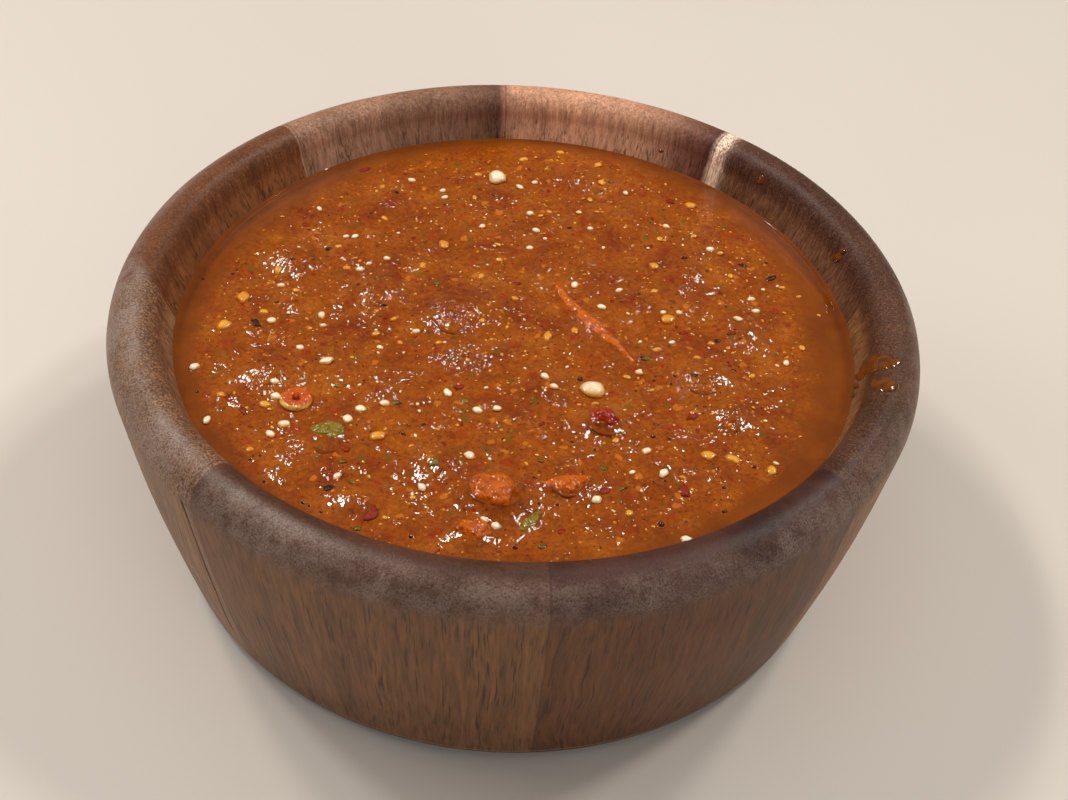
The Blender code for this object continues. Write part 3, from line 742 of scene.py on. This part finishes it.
def wood_material():
    """Dark oiled hardwood glued from staves with the grain upright."""
    g = Graph("wood")
    spot = g.place()
    x, y, rise = g.nodes("SeparateXYZ", {0: spot}, 0, 1, 2)
    share = g.math("ARCTAN2", y, x) / math.tau + 0.5
    radius = g.math("SQRT", x * x + y * y)

    # Colour of each stave, with pale sapwood beside one seam and darker heartwood beside others
    base = g.by_stave(share, rgb(134, 82, 46), rgb(146, 106, 74), rgb(122, 82, 50), rgb(102, 62, 33),
                      rgb(142, 98, 58), rgb(120, 80, 54), rgb(214, 158, 124), rgb(164, 122, 96),
                      rgb(134, 82, 46))
    ruddy = g.by_angle(share, ((53.85, 0.0), (54.0, 1.0), (60.0, 0.8), (72.0, 0.0)))
    grey = g.by_angle(share, ((95.6, 0.0), (95.7, 1.0), (104.0, 0.5), (116.0, 0.0)))
    stripe = g.by_angle(share, ((50.4, 0.0), (51.8, 1.0), (53.7, 1.0), (53.85, 0.0)))
    base = g.mix(ruddy, base, rgb(96, 52, 42))
    base = g.mix(grey, base, rgb(106, 72, 56))
    base = g.mix(stripe, base, rgb(246, 212, 184))

    # Masks: the rim's top, its outer shoulder, and how worn, speckled and wavy each stave is
    on_top = g.steps(rise, RIM_FROM, 52.5 * MM)
    rim_worn = g.by_stave(share, 0.45, 0.4, 0.75, 0.9, 0.8, 0.7, 0.0, 0.0, 0.4)
    speckled = g.by_stave(share, 0.5, 1.0, 0.28, 0.24, 1.0, 1.0, 0.2, 0.3, 0.5)
    wavy = g.by_stave(share, 0.35, 0.35, 0.2, 0.6, 0.4, 0.4, 0.4, 0.4, 0.4)
    reach = g.by_angle(share, ((-180.0, 0.4), (SEAMS[0], 1.0), (SEAMS[1], 0.7), (-105.0, 0.5),
                               (SEAMS[2], 0.25), (SEAMS[5], 0.0), (SEAMS[7], 0.4)))
    inner = 72.6 * MM - reach * (5.0 * MM)
    shoulder = g.steps(radius, inner, inner + 2.6 * MM) * g.steps(rise, RIM_FROM, 51.5 * MM)

    # Grain runs up the wall: arc length, depth into the wall and height, shifted for each stave
    offset = g.by_stave(share, 0.0, 0.3, 0.7, 0.1, 0.5, 0.9, 0.2, 0.6, 0.0)
    lean = (g.noise(spot, 22.0 * MM, 2.0) - 0.5) * wavy * (9.0 * MM)
    turned = g.math("FRACT", share - turn_share(SEAMS[0]))
    along = turned * (math.tau * GRAIN_RADIUS) + lean
    depth = radius - rise * WALL_LEAN + offset
    grain = g.node("CombineXYZ", {0: along, 1: depth, 2: rise})
    short = g.stretch(grain, (1.0, 1.0, 0.07))
    figure = g.noise(g.stretch(grain, (1.0, 1.0, 0.03)), 8.0 * MM, 4.0, 0.6)
    streaks = g.noise(short, 0.8 * MM, 4.0, 0.75)
    fibres = g.noise(short, 0.42 * MM, 3.0, 0.65)
    base = g.mix(1.0, base, g.shades(figure, 0.3, (0.74, 0.71, 0.69), 0.7, (1.2, 1.19, 1.17)), "MULTIPLY")
    base = g.mix(0.9, base, g.shades(streaks, 0.3, (0.5, 0.46, 0.43), 0.7, 1.42), "MULTIPLY")
    specks = g.shades(fibres, 0.34, (0.4, 0.36, 0.34), 0.66, 1.7)
    base = g.mix(speckled * (on_top * 0.5 + 0.5), base, specks, "MULTIPLY")
    hairs = g.steps(g.noise(g.stretch(grain, (1.0, 1.0, 0.035)), 0.36 * MM, 1.0, 0.5), 0.55, 0.68)
    hairs = hairs * g.steps(g.noise(short, 3.0 * MM, 2.0), 0.36, 0.6)
    pits = g.dots(g.stretch(grain, (1.0, 1.0, 0.06)), 0.5 * MM, 0.13 * MM, 0.4)
    pores = g.math("MAXIMUM", hairs * 0.85, pits * 0.7)
    base = g.mix(pores * (0.85 - on_top * 0.5), base, rgb(44, 26, 16))

    # The worn rim: darker and more purple, with dull grey patches on the shoulder that are partly dust and
    # wear and partly a painted sheen, and light specks
    blotches = g.steps(g.noise(spot, 15.0 * MM, 3.0, 0.6), 0.36, 0.66)
    rim_tone = g.mix(blotches, rgb(46, 25, 22), rgb(78, 48, 40))
    dull = 1.0 - stripe
    base = g.mix(on_top * rim_worn * dull, base, rim_tone)
    flecks = g.noise(spot, 0.34 * MM, 3.0, 0.7)
    mottle = g.shades(flecks, 0.3, (0.34, 0.3, 0.3), 0.7, (1.9, 1.94, 2.0))
    base = g.mix(on_top * speckled, base, mottle, "MULTIPLY")
    clouds = g.steps(g.noise(spot, 3.2 * MM, 4.0, 0.62), 0.26, 0.62)
    # Grey on the outer shoulder: partly dust and wear, partly a painted sheen
    dust_and_sheen = (g.steps(g.noise(spot, 14.0 * MM, 3.0), 0.34, 0.66) * 0.55 + 0.4) * g.steps(flecks, 0.2, 0.7)
    dust_and_sheen = g.math("MULTIPLY", dust_and_sheen, clouds + 0.35, True)
    base = g.mix(dust_and_sheen * shoulder * (reach * 0.5 + 0.45) * dull, base, rgb(158, 136, 124))

    # Glue lines, a painted highlight along the edge over the darker foot, and the crack with painted shade in
    # it
    seam = 0.0
    for place in SEAMS:
        near = g.math("ABSOLUTE", share - turn_share(place))
        seam = g.math("MAXIMUM", g.steps(near, 0.0006, 0.0002), seam)
    edge = g.steps(g.math("ABSOLUTE", rise - 3.3 * MM), 0.35 * MM, 0.1 * MM)
    base = g.mix(seam * 0.35, base, rgb(46, 30, 24))
    base = g.mix(g.steps(rise, 3.2 * MM, 2.4 * MM), base, rgb(40, 28, 22))
    # Pale line at the bottom edge: a painted highlight, the floor mirrored in the bevel
    base = g.mix(edge * 0.35, base, rgb(176, 150, 122))
    # The crack painted near-black: painted shade in the narrow gap
    base = g.mix(g.steps(g.attribute("crack"), 0.02, 0.3), base, rgb(10, 6, 5))
    return g.finish(Base_Color=base, Roughness=fibres * 0.2 + 0.38, Specular_IOR_Level=0.3,
                    Normal=g.bump(fibres * 0.4 - pores, 0.4, 0.1 * MM))


def glint_strength(x, y, clusters):
    """How broken and wet the pulp is at a point, from 0 to 1."""
    strength = 0.0
    for gx, gy, radius in clusters:
        away = ((x - gx) ** 2 + (y - gy) ** 2) / (radius * radius)
        if away < GLINT_REACH:
            strength = max(strength, math.exp(-away))
    return strength


def grain_noise(x, y, length, layer):
    """Noise over the surface with features of this length in mm."""
    return noise.noise(Vector((x / (length * MM), y / (length * MM), layer)))


def salsa_mesh():
    """Closed body of the salsa: fine pulp on top, and the bowl's hollow below."""
    points, faces, upper = surface_disc()
    clusters = []
    for px, py, width in GLINTS:
        point, scale = on_salsa(px, py)
        clusters.append((point.x, point.y, 0.5 * width * scale))
    vertices = []
    pulp = []
    wet = []
    tint = []
    for x, y in points:
        from_wall = LEVEL_RADIUS - math.hypot(x, y)
        calm = calmness(x, y)
        margin = margin_width(math.atan2(y, x))
        ragged = 1.0 + 0.7 * grain_noise(x, y, 5.0, 12.0)
        coloured = smooth_step(0.25 * margin, 0.9 * margin * ragged + 2.5 * MM, from_wall)
        broken = glint_strength(x, y, clusters)
        knobs = abs(grain_noise(x, y, 1.7, 5.0))
        fine = 0.20 * grain_noise(x, y, 3.2, 1.0) + 0.24 * knobs + 0.05 * grain_noise(x, y, 0.9, 9.0)
        fine += broken * 0.14 * knobs
        edge = MENISCUS * math.exp(-max(from_wall, 0.0) / MENISCUS_WIDTH)
        height = pulp_height(x, y) + max(calm, 0.45 * coloured, 0.04) * fine * MM + edge
        vertices.append((x, y, height))
        pulp.append(calm)
        wet.append(broken)
        tint.append(coloured)
    count = 6 * SURFACE_RINGS
    below = [(LEVEL_RADIUS - GAP, LEVEL - 2.0 * MM), (HOLLOW_ARC_RADIUS - GAP, HOLLOW_ARC_HEIGHT)]
    floor = (HOLLOW_ARC_RADIUS - FLOOR_RADIUS - GAP, HOLLOW_ARC_HEIGHT - FLOOR_THICKNESS - GAP)
    below += arc((FLOOR_RADIUS, HOLLOW_ARC_HEIGHT), floor, 0, -90, 5)[1:]
    for radius, z in below:
        lower = len(vertices)
        for j in range(count):
            angle = math.tau * j / count
            vertices.append((radius * math.cos(angle), radius * math.sin(angle), z))
        faces += band(upper, lower, count)
        upper = lower
    centre = len(vertices)
    vertices.append((0.0, 0.0, FLOOR_THICKNESS + GAP))
    faces += [(upper + j, centre, upper + (j + 1) % count) for j in range(count)]
    hidden = [0.0] * (len(vertices) - len(pulp))
    return new_mesh("salsa_pulp", vertices, faces, pulp=pulp + hidden, wet=wet + hidden, tint=tint + hidden)


def salsa_material():
    """Brown-orange pulp with specks, and clear amber liquid at the wall."""
    g = Graph("salsa")
    spot = g.place()
    pulp = g.attribute("tint")
    colour = g.ramp(g.noise(spot, 9.0 * MM, 4.0, 0.6, 0.6), (
        (0.30, rgb(128, 50, 1)), (0.44, rgb(148, 68, 2)), (0.56, rgb(158, 77, 3)), (0.72, rgb(172, 92, 10))))
    grains = g.noise(spot, 1.0 * MM, 6.0, 0.8, 0.5)
    colour = g.mix(0.9, colour, g.shades(grains, 0.3, (0.45, 0.38, 0.22), 0.7, (1.5, 1.65, 2.4)), "MULTIPLY")
    # Redder, olive and paler patches: stretch, length, detail, roughness, range, strength and colour
    for stretch, length, detail, rough, low, high, strength, shade in (
            ((1.0, 1.0, 1.0), 3.6 * MM, 4.0, 0.65, 0.57, 0.68, 0.5, rgb(154, 44, 6)),
            ((1.0, 1.0, 2.0), 4.0 * MM, 4.0, 0.65, 0.58, 0.72, 0.4, rgb(132, 88, 18)),
            ((1.0, 1.1, 3.0), 2.0 * MM, 5.0, 0.70, 0.58, 0.74, 0.5, rgb(200, 122, 44))):
        patch = g.steps(g.noise(g.place(stretch), length, detail, rough), low, high)
        colour = g.mix(patch * strength, colour, shade)

    # Fibres: thin curving lines, some pale and some dark
    for length, offset, shade in ((3.1 * MM, 0.2, rgb(206, 134, 58)), (2.4 * MM, 0.5, rgb(84, 36, 8))):
        moved = g.shift(spot, (offset, offset, 0.0))
        wave = g.noise(moved, length, 3.0, 0.6, 0.8)
        line = g.steps(g.math("ABSOLUTE", wave - 0.5), 0.016, 0.004)
        shown = g.steps(g.noise(moved, 1.7 * length, 1.0), 0.52, 0.6)
        colour = g.mix(line * shown * 0.28 * pulp, colour, shade)

    # Soft bits seen through the sauce, then specks too small to model: spacing and radius in mm,
    # share of places used, strength and colour
    warped = g.warp(spot, 1.6 * MM, 1.1 * MM)
    slightly_warped = g.warp(spot, 0.7 * MM, 0.2 * MM)
    for spacing, size, share, strength, shade in (
            (3.6, 1.10, 0.26, 0.50, rgb(150, 32, 3)), (4.1, 1.00, 0.24, 0.55, rgb(96, 86, 14)),
            (3.3, 0.85, 0.26, 0.60, rgb(218, 124, 36)), (3.0, 0.70, 0.20, 0.50, rgb(84, 34, 8)),
            (1.1, 0.24, 0.26, 0.80, rgb(230, 176, 92)), (1.9, 0.36, 0.24, 0.80, rgb(226, 142, 34)),
            (1.2, 0.24, 0.26, 0.80, rgb(44, 20, 8)), (2.3, 0.46, 0.22, 0.80, rgb(160, 26, 6)),
            (2.7, 0.40, 0.18, 0.80, rgb(84, 82, 16))):
        spacing *= MM
        moved = g.shift(warped if size > 0.5 else slightly_warped, (spacing * 3.0, spacing * 7.0, 0.0))
        speck = g.dots(moved, spacing, size * MM, share) * pulp
        colour = g.mix(speck * strength, colour, shade)
    liquid = g.ramp(g.noise(spot, 7.0 * MM, 3.0), ((0.35, rgb(120, 56, 0)), (0.65, rgb(138, 67, 1))))

    # Lumps everywhere in the pulp, and steep little knobs where it is broken and wet
    lumps = g.noise(spot, 1.6 * MM, 2.0, 0.6)
    rough_spots = g.steps(g.noise(spot, 5.0 * MM, 2.0), 0.50, 0.64)
    broken = (rough_spots * 0.30 + 0.14) * g.math("POWER", g.attribute("pulp"), 0.6)
    wet = g.attribute("wet") * g.steps(g.noise(spot, 2.6 * MM, 2.0), 0.40, 0.54)
    knobs = g.cones(g.warp(spot, 1.3 * MM, 0.5 * MM), 1.15 * MM)
    bent = g.bump(lumps * broken * (1.4 * MM) + knobs * wet * 0.46)
    return g.finish(Base_Color=g.mix(pulp, liquid, colour), Roughness=0.4, Specular_IOR_Level=0.05,
                    Coat_Weight=1.0, Coat_Roughness=0.03, Coat_IOR=1.62, Normal=bent, Coat_Normal=bent)


def bit_material(name, low, high, roughness=0.3, coat=0.8):
    """Wet seed or flake whose colour runs between two with the bit's own tone."""
    g = Graph(name)
    cloud = g.noise(g.place(), 0.8 * MM, 3.0)
    mixed = g.math("ADD", g.attribute("tone"), (cloud - 0.5) * 0.9, True)
    return g.finish(Base_Color=g.mix(mixed, low, high), Roughness=roughness, Specular_IOR_Level=0.3,
                    Coat_Weight=coat, Coat_Roughness=0.08, Normal=g.bump(cloud, 0.5, 0.35 * MM))


class Pile:
    """Many small closed shapes joined into one mesh, each with its own tone."""

    def __init__(self):
        self.points = []
        self.faces = []
        self.tones = []

    def add(self, points, faces, tones):
        """Add one closed shape with one tone, or with the tone of each point."""
        start = len(self.points)
        self.points += points
        self.faces += [tuple(start + i for i in face) for face in faces]
        self.tones += tones if isinstance(tones, list) else [tones] * len(points)

    def mesh(self, name, outward=False):
        """All the shapes as one mesh that stores their tones."""
        return new_mesh(name, self.points, self.faces, outward, tone=self.tones)


def unit_sphere(segments, rings):
    """Points and outward faces of a sphere of radius 1."""
    points = [Vector((0.0, 0.0, 1.0))]
    for i in range(1, rings):
        lean = math.pi * i / rings
        for j in range(segments):
            turn = math.tau * j / segments
            flat = math.sin(lean)
            points.append(Vector((flat * math.cos(turn), flat * math.sin(turn), math.cos(lean))))
    bottom = len(points)
    points.append(Vector((0.0, 0.0, -1.0)))
    faces = [(0, 1 + j, 1 + (j + 1) % segments) for j in range(segments)]
    for i in range(rings - 2):
        faces += band(1 + i * segments, 1 + (i + 1) * segments, segments)
    upper = bottom - segments
    faces += [(bottom, upper + (j + 1) % segments, upper + j) for j in range(segments)]
    return points, faces


def tube(turns, sides, place):
    """What place gives for each pair of angles on a closed tube, and the tube's faces."""
    points = [place(math.tau * i / turns, math.tau * k / sides) for i in range(turns) for k in range(sides)]
    faces = []
    for i in range(turns):
        faces += band(i * sides, (i + 1) % turns * sides, sides)
    return points, faces


def upright(normal):
    """Turn that brings +Z to a normal."""
    return Vector((0.0, 0.0, 1.0)).rotation_difference(normal).to_matrix()


def bit_shape(sphere, centre, normal, turn, size, ragged, point):
    """Flattened, uneven bit lying on a surface: size is length, width and thickness."""
    lie = upright(normal) @ Matrix.Rotation(turn, 3, "Z")
    shape = []
    for co in sphere:
        key = Vector((co.x * 1.4 + turn * 7.0, co.y * 1.4, co.z * 0.8))
        uneven = 1.0 + ragged * noise.noise(key) * 1.6
        narrow = 1.0 - point * max(co.x, 0.0) ** 2
        local = Vector((0.5 * size[0] * co.x * uneven, 0.5 * size[1] * co.y * uneven * narrow,
                        0.5 * size[2] * co.z))
        shape.append(centre + lie @ local)
    return shape


def all_bits():
    """Every seed and flake by kind: those in the solids first, then those placed by pixel, then crumbs."""
    draw = random.Random(RANDOM_SEED + 1)
    fine_sphere = unit_sphere(18, 10)
    coarse_sphere = unit_sphere(11, 6)
    piles = {kind: Pile() for kind in KINDS}
    taken = []

    def put(kind, x, y, length, turn, lift=0.0):
        wide, thick, ragged, point, rise = KINDS[kind][:5]
        z = pulp_height(x, y) + (rise + lift) * length
        tilt = Vector((draw.uniform(-0.12, 0.12), draw.uniform(-0.12, 0.12), 0.0))
        size = (length, length * wide * draw.uniform(0.85, 1.1), length * thick)
        normal = (salsa_normal(x, y) + tilt).normalized()
        sphere, faces = fine_sphere if length > 1.9 * MM else coarse_sphere
        shape = bit_shape(sphere, Vector((x, y, z)), normal, turn, size, ragged, point * draw.random())
        own = 0.3 * draw.random()
        piles[kind].add(shape, faces, [own + 0.7 * smooth_step(0.3, 0.95, co.z) for co in sphere])
        taken.append((x, y, length))

    for index, (x, y, length, kind) in enumerate(seed_places()):
        put(kind, x, y, length, index * SEED_TURN)
    for kind, places in zip(KINDS, (PALE, ORANGE, CHAR, GREEN, RED)):
        for px, py, width in places:
            point, scale = on_salsa(px, py)
            length = width * scale
            if all(math.hypot(point.x - t[0], point.y - t[1]) > 0.45 * (length + t[2]) for t in taken):
                put(kind, point.x, point.y, length, draw.uniform(-0.6, 0.6))
    for kind, (*_, count, size) in KINDS.items():
        for _ in range(count):
            radius = CRUMB_REACH * math.sqrt(draw.random())
            angle = math.tau * draw.random()
            x = radius * math.cos(angle)
            y = radius * math.sin(angle)
            length = size * MM * draw.uniform(0.5, 1.35)
            if draw.random() < 0.12 + calmness(x, y) and clear_of_pieces(x, y, 0.5 * length):
                put(kind, x, y, length, math.tau * draw.random(), 0.02)
    return piles


def chunk_mesh(name):
    """Rounded, uneven lump as in the solids, with fine wet relief."""
    x, y, length, width, thickness, turn, rise = CHUNKS[name]
    bm = bmesh.new()
    bmesh.ops.create_uvsphere(bm, u_segments=CHUNK_DETAIL, v_segments=CHUNK_DETAIL // 2, radius=1.0)
    place = Vector((x * MM, y * MM, surface_height(x * MM, y * MM) + rise * MM))
    half = Vector((length, width, thickness)) * 0.5 * MM
    spin = Matrix.Rotation(math.radians(turn), 3, "Z")
    for v in bm.verts:
        bumps = noise.noise(v.co * CHUNK_BUMPS + Vector((x, y, 0.0)))
        fine = 0.05 * abs(noise.noise(v.co * 4.5 + Vector((y, x, 0.0))))
        fine += 0.02 * noise.noise(v.co * 11.0)
        shape = v.co * (1.0 + CHUNK_ROUGHNESS * bumps + fine - 0.03)
        v.co = place + spin @ Vector((shape.x * half.x, shape.y * half.y, shape.z * half.z))
    mesh = bpy.data.meshes.new(name)
    bm.to_mesh(mesh)
    bm.free()
    return mesh


def strip_shape(path, thickness, rise, ground, rings=64, sides=16):
    """Points and faces of a tapered strip that follows its path over the ground, with a soft wrinkle."""
    vertices = []
    widest = max(row[2] for row in path)
    for i in range(rings):
        t = i / (rings - 1)
        point = path_point(path, t)
        ahead = path_point(path, min(t + 0.01, 1.0)) - path_point(path, max(t - 0.01, 0.0))
        along = Vector((ahead.x, ahead.y, 0.0)).normalized()
        side = Vector((-along.y, along.x, 0.0))
        x = point.x * MM
        y = point.y * MM
        half_width = 0.5 * point.z * MM
        fullness = STRIP_END_FULLNESS + (1.0 - STRIP_END_FULLNESS) * point.z / widest
        half_height = 0.5 * thickness * fullness * MM
        middle = Vector((x, y, ground(x, y) + rise * MM))
        for k in range(sides):
            angle = math.tau * (k + 0.5) / sides
            across = math.cos(angle)
            up = math.sin(angle)
            wrinkle = 1.0 + 0.16 * noise.noise(Vector((t * 16.0, across * 1.5, up * 1.5)))
            offset = side * half_width * across + Vector((0, 0, half_height * up))
            vertices.append(middle + offset * wrinkle)
    faces = []
    for i in range(rings - 1):
        faces += band(i * sides, (i + 1) * sides, sides)
    faces.append(tuple(range(sides)))
    faces.append(tuple(range((rings - 1) * sides, rings * sides))[::-1])
    return vertices, faces


def strip_mesh(name):
    """One of the strips, as in the solids."""
    return new_mesh(name, *strip_shape(*STRIPS[name], surface_height))


def wet_line_mesh():
    """Raised lines of liquid round the larger pieces and mounds, placed by pixel."""
    pile = Pile()
    for line in WET_LINES:
        path = []
        for index, (px, py) in enumerate(line):
            point = on_salsa(px, py)[0]
            path.append((point.x / MM, point.y / MM, WET_LINE_WIDTHS[0 < index < len(line) - 1]))
        pile.add(*strip_shape(path, WET_LINE_THICKNESS, WET_LINE_RISE, pulp_height, 30, 12), 0.0)
    return pile.mesh("wet_lines", True)


def ring_mesh():
    """Slice of chilli: an uneven ring, as in the solids, round a dark sunken skin."""
    x, y = (value * MM for value in RING_PLACE)
    z = surface_height(x, y) + RING_RISE

    def place(angle, lean):
        key = Vector((math.cos(angle) * 1.3, math.sin(angle) * 1.3, 2.0))
        thick = RING_THICKNESS / 2.0 * (1.0 + 0.12 * noise.noise(key))
        radius = RING_RADIUS + thick * (1.5 * math.cos(lean) - 0.15)
        return Vector((x + RING_STRETCH * radius * math.cos(angle), y + radius * math.sin(angle),
                       z + thick * math.sin(lean)))

    def tone(angle, lean):
        return 0.5 + 0.5 * smooth_step(0.2, 0.85, math.cos(lean) * (0.6 - 0.4 * math.sin(angle + 0.4)))

    pile = Pile()
    pile.add(*tube(*RING_GRID, place), tube(*RING_GRID, tone)[0])
    skin, skin_faces = unit_sphere(24, 12)
    low = Vector((x, y, z - 0.1 * MM))
    pile.add([low + co * RING_SKIN for co in skin], skin_faces, 0.0)
    return pile.mesh("chilli_ring", True)


def flesh_material(name, dark, light, pale=None):
    """Wet cooked flesh mottled between two colours, with a pale edge where one is given."""
    g = Graph(name)
    spot = g.place()
    colour = g.ramp(g.noise(spot, 1.5 * MM, 6.0, 0.75, 0.5), ((0.34, dark), (0.62, light)))
    if pale is not None:
        tone = g.attribute("tone")
        colour = g.mix(g.steps(tone, 0.3, 0.1), colour, rgb(104, 12, 2))
        colour = g.mix(g.steps(tone, 0.6, 0.95) * 0.85, colour, pale)
    lumps = g.noise(spot, 1.6 * MM, 2.0) * (0.6 * MM)
    bent = g.bump(lumps + g.cones(g.warp(spot, 1.3 * MM, 0.5 * MM), 1.0 * MM) * 0.36)
    return g.finish(Base_Color=colour, Roughness=0.35, Specular_IOR_Level=0.1, Coat_Weight=1.0,
                    Coat_Roughness=0.05, Coat_IOR=1.5, Normal=bent, Coat_Normal=bent)


def bubble_mesh():
    """Small bubbles: a low dark dome in a raised rim of liquid."""

    def place(angle, lean):
        reach = 1.0 + BUBBLE_RIM * math.cos(lean)
        return Vector((reach * math.cos(angle), reach * math.sin(angle), BUBBLE_RIM * math.sin(lean)))

    dome, dome_faces = unit_sphere(20, 12)
    rim, rim_faces = tube(24, 8, place)
    pile = Pile()
    for px, py, width in BUBBLES:
        point, scale = on_salsa(px, py)
        radius = 0.42 * width * scale
        normal = salsa_normal(point.x, point.y)
        lie = upright(normal)
        centre = Vector((point.x, point.y, pulp_height(point.x, point.y)))
        low = centre + normal * 0.12 * radius
        pile.add([low + lie @ (co * 0.85 * radius) for co in dome], dome_faces, 0.0)
        pile.add([centre + lie @ (co * radius) for co in rim], rim_faces, 1.0)
    return pile.mesh("bubbles")


def bubble_material():
    """Clear dome painted dark brown as a painted reflection of dim surroundings, orange rim."""
    g = Graph("bubble")
    # Dark browns of the dome: a painted reflection of dim surroundings
    dome = g.mix(g.noise(g.place(), 0.6 * MM, 2.0), rgb(70, 32, 14), rgb(96, 44, 16))
    return g.finish(Base_Color=g.mix(g.attribute("tone"), dome, rgb(176, 92, 24)), Roughness=0.08,
                    Coat_Weight=1.0, Coat_Roughness=0.03)


def film_mesh(name, bowl):
    """Thin closed film of sauce lying on the bowl where the photograph shows it."""
    blobs, thickness = FILMS[name]
    margin = 2.2 * max(r for _, _, r in blobs)
    left = min(x for x, _, _ in blobs) - margin
    right = max(x for x, _, _ in blobs) + margin
    top = min(y for _, y, _ in blobs) - margin
    bottom = max(y for _, y, _ in blobs) + margin
    upper = {}
    vertices = []
    for row in range(int(bottom - top) + 1):
        for column in range(int(right - left) + 1):
            px = left + column
            py = top + row
            field = sum(math.exp(-((px - x) ** 2 + ((py - y) * FILM_STRETCH) ** 2) / (r * r))
                        for x, y, r in blobs)
            if field < FILM_EDGE:
                continue
            hit, point, normal, _ = bowl.ray_cast(EYE, sight(px, py).normalized())
            if not hit:
                continue
            lift = thickness * MM * min(math.sqrt(max(field - FILM_FLAT, 0.0)), 1.0)
            upper[row, column] = len(vertices)
            vertices += [point + normal * (lift - 0.02 * MM), point - normal * FILM_SINK]
    faces = []
    edges = set()
    for row, column in upper:
        places = ((row, column), (row + 1, column), (row + 1, column + 1), (row, column + 1))
        if all(place in upper for place in places):
            corners = [upper[place] for place in places]
            faces.append(tuple(corners))
            faces.append(tuple(corner + 1 for corner in corners[::-1]))
            edges.update(zip(corners, corners[1:] + corners[:1]))
    faces += [(b, a, a + 1, b + 1) for a, b in sorted(edges) if (b, a) not in edges]
    return new_mesh(name, vertices, faces)


def film_material():
    """Thin amber sauce with the dark wood showing through as a browner orange."""
    g = Graph("sauce_film")
    colour = g.ramp(g.noise(g.place(), 1.4 * MM), ((0.35, rgb(84, 40, 2)), (0.65, rgb(128, 68, 4))))
    return g.finish(Base_Color=colour, Roughness=0.12, Coat_Weight=1.0, Coat_Roughness=0.03)


def make_stage():
    """Plain pale floor, soft world light and the studio lights."""
    bpy.ops.mesh.primitive_plane_add(size=FLOOR_SIZE, location=(0.0, 0.0, -FLOOR_DROP))
    floor = bpy.context.object
    floor.name = "floor"
    g = Graph("floor")
    colour = g.ramp(g.noise(g.place(), 0.25, 2.0), ((0.3, rgb(222, 212, 200)), (0.7, rgb(228, 219, 208))))
    floor.data.materials.append(g.finish(Base_Color=colour, Roughness=0.6))
    world = bpy.data.worlds.new("studio")
    world.use_nodes = True
    sky = world.node_tree.nodes["Background"]
    sky.inputs["Color"].default_value = WORLD_COLOUR
    sky.inputs["Strength"].default_value = WORLD_STRENGTH
    bpy.context.scene.world = world
    for name, (place, aim_height, size, power, colour) in LIGHTS.items():
        data = bpy.data.lights.new(name, "AREA")
        data.shape = "DISK"
        data.size = size
        data.energy = power
        data.color = colour
        light = bpy.data.objects.new(name, data)
        light.location = place
        light.visible_glossy = size < WIDEST_MIRRORED
        aim = Vector((0.0, 0.0, aim_height)) - Vector(place)
        light.rotation_euler = aim.to_track_quat("-Z", "Y").to_euler()
        bpy.context.scene.collection.objects.link(light)


def build():
    """Make every piece of the visual model."""
    bowl = add_piece("bowl_turned", bowl_mesh(), wood_material(), "wood", "bowl")
    liquid = salsa_material()
    add_piece("salsa_pulp", salsa_mesh(), liquid, "salsa", "salsa")
    add_piece("wet_lines", wet_line_mesh(), liquid, "salsa", "salsa")
    looks = {
        "pale": ("pale_seeds", bit_material("seed_pale", rgb(236, 168, 74), rgb(255, 252, 222))),
        "orange": ("orange_seeds", bit_material("seed_orange", rgb(190, 92, 8), rgb(244, 170, 50))),
        "char": ("char_flecks", bit_material("char", rgb(24, 12, 8), rgb(60, 28, 12), 0.4, 0.5)),
        "green": ("green_flecks", bit_material("green_fleck", rgb(66, 62, 6), rgb(124, 110, 26), 0.4, 0.5)),
        "red": ("red_flecks", bit_material("red_fleck", rgb(112, 26, 1), rgb(150, 36, 1), 0.5, 0.0)),
    }
    for kind, pile in all_bits().items():
        name, material = looks[kind]
        add_piece(name, pile.mesh(name), material, "salsa", "salsa")
    add_piece("bubbles", bubble_mesh(), bubble_material(), "salsa", "salsa")

    tomato = flesh_material("tomato", rgb(156, 58, 1), rgb(222, 110, 6))
    green = flesh_material("green_skin", rgb(116, 90, 8), rgb(150, 126, 30))
    red = flesh_material("red_skin", rgb(120, 14, 2), rgb(176, 44, 6))
    chilli = flesh_material("chilli", rgb(176, 68, 1), rgb(226, 112, 6))
    for name, shape, material, slot in (
            ("tomato_chunk_1", chunk_mesh, tomato, "tomato"),
            ("tomato_chunk_2", chunk_mesh, tomato, "tomato"),
            ("tomatillo_piece", chunk_mesh, green, "green_piece"),
            ("red_pepper_piece", chunk_mesh, red, "red_piece"),
            ("chilli_strip", strip_mesh, chilli, "chilli"),
            ("pepper_piece", strip_mesh, chilli, "chilli"),
            ("pepper_skin", strip_mesh, green, "green_piece")):
        add_piece(f"{name}_wet", shape(name), material, slot, name)
    ring = flesh_material("chilli_ring", rgb(184, 60, 2), rgb(226, 104, 8), rgb(250, 196, 92))
    add_piece("chilli_ring_wet", ring_mesh(), ring, "chilli", "chilli_ring")

    bpy.context.view_layer.update()
    sauce = film_material()
    for name in FILMS:
        add_piece(name, film_mesh(name, bowl), sauce, "salsa")


build()
make_stage()
bpy.context.scene.view_settings.view_transform = "Standard"
